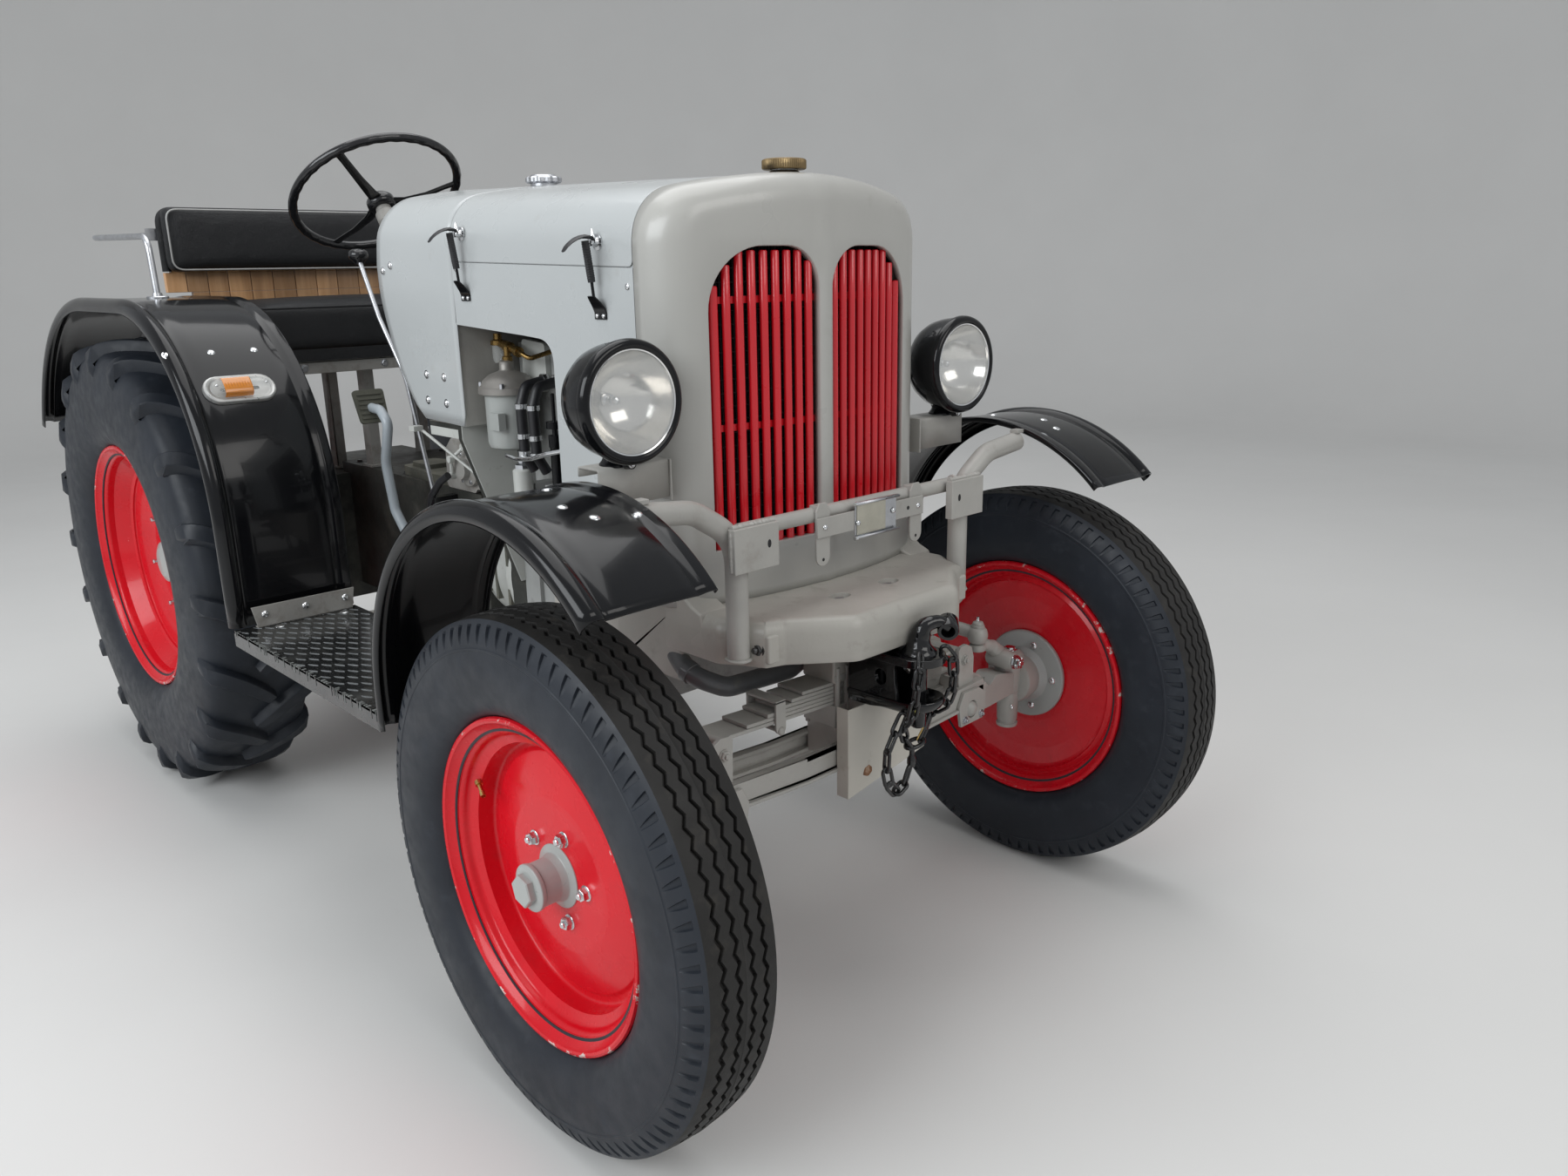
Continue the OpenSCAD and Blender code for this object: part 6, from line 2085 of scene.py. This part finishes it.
def build_controls():
    s = Shape()
    path = fillet([(-270, 1250, 560), (-266, 1232, 660), (-285, 1203, 751), (-294, 1243, 817),
                   (-294, 1268, 935), (-296, 1226, 1036), (-296, 1262, 1066), (-296, 1312, 1068)],
                  [0, 60, 50, 50, 60, 26, 22, 0], 6)
    s.tube(path, 12, 20, mat=1)
    pad(s, (-296, 1314, 1070), -20, 0)
    path = fillet([(270, 1250, 560), (262, 1298, 680), (270, 1262, 860), (280, 1234, 930)], [0, 50, 50, 0],
                  6)
    s.tube(path, 12, 20, mat=1)
    pad(s, (280, 1234, 932), -40, 0)
    for x in (-1, 1):
        lo, hi = sorted((160.3 * x, 285 * x))
        s.box((lo, hi), (1226, 1264), (546, 584), 2)
        s.lathe([(0, -18), (20, -18), (20, 18), (0, 18)], on((270 * x, 1250, 560), LEFT), 24, 2)
    make("pedal_arms", s, [pad_olive, arm_grey, gear_black, bright], stands=["pedals"],
         bevel=1.2)
    h = Shape()
    h.box((-225, -160.2), (1168, 1192), (822, 848), 1)
    h.tube(fillet([(-215, 1180, 838), (-246, 1212, 1150), (-254, 1300, 1283), (-250, 1386, 1424)],
                  [0, 90, 90, 0], 8),
           5.6, 16)
    h.lathe([(0, 1411), (10, 1411), (13, 1417), (21, 1424), (24.5, 1432), (22, 1441), (14, 1446.5),
             (0, 1448)],
            on((-250, 1387, 0), UP), 36, 1)
    h.lathe([(30, 860.2), (30, 866), (24, 878), (14, 890), (12, 905), (9, 912), (9, 930)],
            on((0, 1330, 0), UP), 32, 1)
    h.tube([(0, 1331, 880), (0, 1350, 1150)], 9, 16)
    h.lathe([(0, 1136), (12, 1136), (21, 1148), (23, 1160), (19, 1173), (10, 1180), (0, 1182)],
            on((0, 1350, 0), UP), 36, 1)
    make("lever_rods", h, [zinc, black_wheel], stands=["levers"], smooth=45)


# Engine bay and gearbox

ENGINE_SIDE = -195.3


def build_filter():
    s = Shape()
    x, y = -262, 714
    at = on((x, y, 0), UP)
    s.lathe([(0, 1022), (30, 1022), (46, 1028), (50, 1038), (50, 1136), (56, 1139)], at, 48)
    s.box((-317, -300), (y - 44, y - 8), (1068, 1104))
    s.lathe([(56, 1139), (62, 1141), (62, 1154), (56, 1158), (52, 1168), (38, 1180), (18, 1187), (15, 1190),
             (15, 1206), (9, 1209), (0, 1209)], at, 48, 1)
    s.box((x, -195.4), (y - 24, y + 24), (1143, 1151), 1)
    for dx, dy in ((56, 0), (-40, 42), (-40, -42)):
        s.lathe([(5, 1154), (5, 1164), (0, 1165)], on((x + dx, y + dy, 0), UP), 6, 3)
    make("filter_body", s, [hub_grey, filter_head, rust, zinc], stands=["fuel_filter"],
         smooth=45)


def build_fuel_tap():
    s = Shape()
    s.lathe([(0, 1200), (10, 1201), (13, 1208), (13, 1238), (0, 1238)], on((-250, 761, 0), UP), 28, 1)
    s.lathe([(0, 1238), (16, 1238), (16, 1247), (9, 1250), (9, 1262), (0, 1262)], on((-250, 761, 0), UP), 24)
    s.lathe([(0, 0), (9, 0), (9, 22), (12, 24), (12, 40), (8, 42), (8, 64), (11, 65), (11, 76), (0, 77)],
            on((-250, 752, 1242), (0, -1, -0.22)), 20)
    s.lathe([(0, 1204), (11, 1204), (11, 1216), (7, 1218), (7, 1236), (0, 1236)], on((-258, 714, 0), UP), 20)
    s.tube(fillet([(-250, 680, 1228), (-256, 660, 1224), (-250, 640, 1214), (-206, 628, 1226)], 14, 4), 5,
           12)
    make("fuel_tap", s, [tap_brass, clear_lens], smooth=40)


def build_bay_sheets():
    s = Shape()
    for side in (-1, 1):
        shape = [(200 * side, 700), (216 * side, 700), (332 * side, 1040), (332 * side, 1071.6),
                 (200 * side, 1071.6)]
        s.prism(shape, "y", 799.6, 801.8, 1)
    s.box((-332, -329), (803, 940), (1040, 1071.6), 1)
    s.box((-332, -182.4), (802.4, 940), (1068, 1071.6), 2)
    cover = rounded([(648, 1242), (736, 1250), (740, 1160), (716, 1142), (664, 1140), (648, 1160)], 10, 4,
                    closed=True)
    s.prism(cover, "x", -208, ENGINE_SIDE, 1)
    make("bay_sheets", s, [sheet_grey, light_grey, rust_line], bevel=0.8)


def build_hoses():
    s = Shape()
    for y in (632, 586):
        hose = [(-214, y + 8, 1168), (-268, y + 4, 1160), (-285, y, 1120), (-282, y + 2, 1020),
                (-262, y, 985)]
        s.tube(fillet(hose, [0, 20, 30, 30, 0], 5), 11, 16)
        for z in (1120, 1058, 1022):
            s.lathe([(11.4, -6), (13.6, -5), (13.6, 5), (11.4, 6)], on((-284, y + 1, z), UP), 20, 1)
        s.bolt((-214, y + 8, 1168), RIGHT, 15, 12, mat=1, washer=0)
    pipe = [(-268, 700, 1000), (-300, 688, 1016), (-300, 640, 1011), (-300, 578, 1019), (-300, 518, 1035),
            (-288, 466, 1046), (-215, 440, 1050)]
    s.tube(fillet(pipe, 30, 5), 5, 12, mat=1)
    drain = [(-218, 1098, 912), (-226, 1130, 892), (-224, 1180, 852), (-212, 1232, 782), (-162, 1262, 740)]
    s.tube(fillet(drain, 30, 5), 9, 14)
    make("bay_hoses", s, [black_rubber, bright], smooth=45)


def build_pump():
    s = Shape()
    s.box((-268, ENGINE_SIDE), (452, 588), (882, 958))
    s.box((-264, -215), (588, 606), (894, 948))
    s.lathe([(0, 0), (30, 0), (30, 12), (22, 18), (22, 26), (0, 27)], on((-232, 452, 920), AHEAD), 32)
    for y in (475, 520, 565):
        s.lathe([(17, 958), (17, 974), (14, 976), (14, 1002), (9, 1005), (9, 1022), (0, 1024)],
                on((-240, y, 0), UP), 20, 2)
        pipe = [(-240, y, 1020), (-242, y + 4, 1062), (-222, y + 16, 1100), (-200, y + 18, 1130)]
        s.tube(fillet(pipe, 30, 5), 3.4, 10, mat=2)
    for y, z in ((470, 940), (570, 940), (470, 900), (570, 900), (520, 940)):
        s.bolt((-268, y, z), RIGHT, 6, 5, mat=2, washer=1.1)
    s.lathe([(0, 958), (12, 958), (12, 1040), (14, 1042), (14, 1066), (6, 1068), (6, 1078), (17, 1080),
             (17, 1094), (4, 1096), (4, 1150), (0, 1151)], on((-264, 543, 0), UP), 24, 3)
    s.lathe([(0, 900), (20, 900), (21, 906), (21, 980), (17, 984), (0, 984)], on((-268, 672, 0), UP), 32, 1)
    s.lathe([(17, 984), (17, 992), (8, 996), (8, 1004), (0, 1004)], on((-268, 672, 0), UP), 6, 2)
    s.box((-248, ENGINE_SIDE), (656, 688), (930, 950))
    make("pump_body", s, [engine_grey, light_grey, zinc, black_gloss],
         stands=["injection_pump"], bevel=1.6, smooth=40)


def build_bay_rods():
    s = Shape()
    s.tube([(-300, 1058, 1040), (-224, 800, 884)], 3.6, 12)
    s.box((-320, -296), (1046, 1070), (1034, 1046))
    s.box((-228, -195.2), (790, 812), (872, 892), 1)
    a, b = Vector((-206, 822, 958)), Vector((-206, 926, 858))
    side = (b - a).normalized().cross(Vector(LEFT)) * 8
    front = [a + side, b + side, b - side, a - side]
    s.put(front + [p - Vector((5, 0, 0)) for p in front],
          [(0, 1, 2, 3), (7, 6, 5, 4), (0, 4, 5, 1), (1, 5, 6, 2), (2, 6, 7, 3), (3, 7, 4, 0)], 1)
    joints = [(-180, 1080, 978), (-206, 1100, 950), (-196, 1118, 906)]
    s.tube(joints, 5, 10)
    for joint in joints:
        s.lathe([(0, -7), (9, -7), (9, 7), (0, 7)], on(joint, LEFT), 16)
    make("bay_rods", s, [light_grey, frame_grey], bevel=0.8, smooth=40)


def build_gearbox():
    s = Shape()
    bell = [(206.5, 861), (206.5, 884), (203, 890), (172, 1040), (172, 1052), (168, 1061), (150, 1061)]
    s.lathe(bell, on((0, 0, 690), BACK), 72, 2)
    for k in range(10):
        a = math.tau * (k + 0.5) / 10
        s.bolt((197 * math.cos(a), 884, 690 + 197 * math.sin(a)), BACK, 8, 7, mat=1)
    lid = [(-150, 1110), (-40, 1096), (120, 1108), (150, 1220), (140, 1500), (-140, 1500), (-156, 1300)]
    s.prism(rounded(lid, 20, 4, closed=True), "z", 858, 884)
    for x, y, w, d, h in ((-100, 1160, 34, 46, 14), (70, 1170, 40, 40, 10), (-90, 1420, 42, 50, 12),
                          (80, 1440, 36, 40, 16)):
        boss = [(x - w, y - d), (x + w, y - d), (x + w * 0.8, y + d), (x - w * 0.9, y + d)]
        s.prism(rounded(boss, 14, 4, closed=True), "z", 882, 884 + h)
    for y in (880, 960, 1040):
        near = (1060 - y) * 0.18
        for side in (-1, 1):
            rib = [(y - 5, 620), (y + 5, 620), (y + 5, 780), (y - 5, 780)]
            s.prism(rib, "x", *sorted((side * (150 + near), side * (172 + near))))
    for y in (1110, 1200, 1400, 1500, 1600, 1700, 1790):
        for x in (-130, 130):
            s.bolt((x, y, 860), UP, 8, 6, mat=1)
    s.prism(rounded([(-120, 1240), (120, 1240), (120, 1430), (-120, 1430)], 20, 4, closed=True), "z", 859,
            866)
    s.prism(rounded([(-110, 1080), (110, 1080), (90, 1226), (-90, 1226)], 16, 4, closed=True), "z", 859, 864)
    for x in (-205, 205):
        for z in (520, 600, 700, 800, 870):
            s.bolt((x * 0.93, 862, z), BACK, 8, 7, mat=1)
    make("gearbox_trim", s, [gear_olive, steel_dark, light_grey], bevel=1.2)


# CAD nodes that stay get their finish here

def finish_nodes():
    # The fuel tank gets near black: painted shade of the unlit space under the cowl.
    finishes = {"engine": engine_grey, "gearbox": gear_black, "rear_axle": gear_black,
                "fuel_tank": painted_shade_black, "drawbar": black_gloss}
    for name, m in finishes.items():
        slots = nodes[name].material_slots
        if not len(slots):
            nodes[name].data.materials.append(m)
        for slot in slots:
            slot.material = m


# Floor, backdrop and light

def build_stage():
    # a round floor with a wall rising behind the tractor as the camera sees it
    profile = [(0.0, 0), (2.0, 0), (5.0, 0), (8.0, 0), (8.6, 0.05), (9.2, 0.25), (9.7, 0.6), (10.1, 1.1),
               (10.35, 1.8), (10.4, 3), (10.4, 9)]
    verts = []
    faces = []
    turns = 72
    for r, z in profile:
        for k in range(turns):
            a = math.tau * k / turns
            verts.append((r * math.sin(a), r * math.cos(a), z))
    for i in range(len(profile) - 1):
        for k in range(turns):
            behind = -65 < (k * 360 / turns - 44 + 180) % 360 - 180 < 65
            if i > 2 and not behind:
                continue
            j = (k + 1) % turns
            faces.append((i * turns + k, i * turns + j, (i + 1) * turns + j, (i + 1) * turns + k))
    mesh = bpy.data.meshes.new("floor")
    mesh.from_pydata(verts, [], faces)
    mesh.shade_smooth()
    m = material("floor", (0.66, 0.655, 0.64), 0.6, vary=0.02, patch=0.8)
    mesh.materials.append(m)
    obj = bpy.data.objects.new("floor", mesh)
    bpy.context.scene.collection.objects.link(obj)
    world = bpy.data.worlds.new("studio")
    bpy.context.scene.world = world
    world.use_nodes = True
    back = world.node_tree.nodes["Background"]
    back.inputs["Color"].default_value = (0.93, 0.96, 1.0, 1)
    back.inputs["Strength"].default_value = 0.5

    def lamp(name, place, aim, size, power, colour):
        data = bpy.data.lights.new(name, "AREA")
        data.shape = "RECTANGLE"
        data.size, data.size_y = size
        data.energy = power
        data.color = colour
        light = bpy.data.objects.new(name, data)
        light.location = place
        light.rotation_euler = (Vector(aim) - Vector(place)).to_track_quat("-Z", "Y").to_euler()
        bpy.context.scene.collection.objects.link(light)

    lamp("window", (-5.2, -0.6, 3.4), (0, -0.3, 0.7), (4.5, 2.6), 200, (0.93, 0.97, 1.0))
    lamp("front", (0.6, -6.0, 4.2), (0, -0.8, 0.7), (4.0, 2.4), 80, (1.0, 0.98, 0.95))
    lamp("top", (0.2, 0.3, 5.2), (0, 0, 0), (4.2, 5.0), 130, (1, 1, 1))
    bpy.context.scene.view_settings.view_transform = "Standard"


set_camera()
build_wheels()
build_shell()
build_radiator_cap()
build_grille()
build_bonnet()
build_side_panels()
build_cowl()
build_instruments()
build_cowl_trim()
build_latches()
build_fenders()
build_turn_lamps()
build_headlights()
build_lamp_arms()
build_bumper()
build_plate_holder()
build_casting()
build_casting_arms()
build_jaw()
build_pipe()
build_chains()
build_guard()
build_spring()
build_axle()
build_knuckles()
build_rods()
build_boards()
build_seat_wood()
build_seat()
build_steering()
build_controls()
build_filter()
build_fuel_tap()
build_bay_sheets()
build_hoses()
build_pump()
build_bay_rods()
build_gearbox()
finish_nodes()
build_stage()
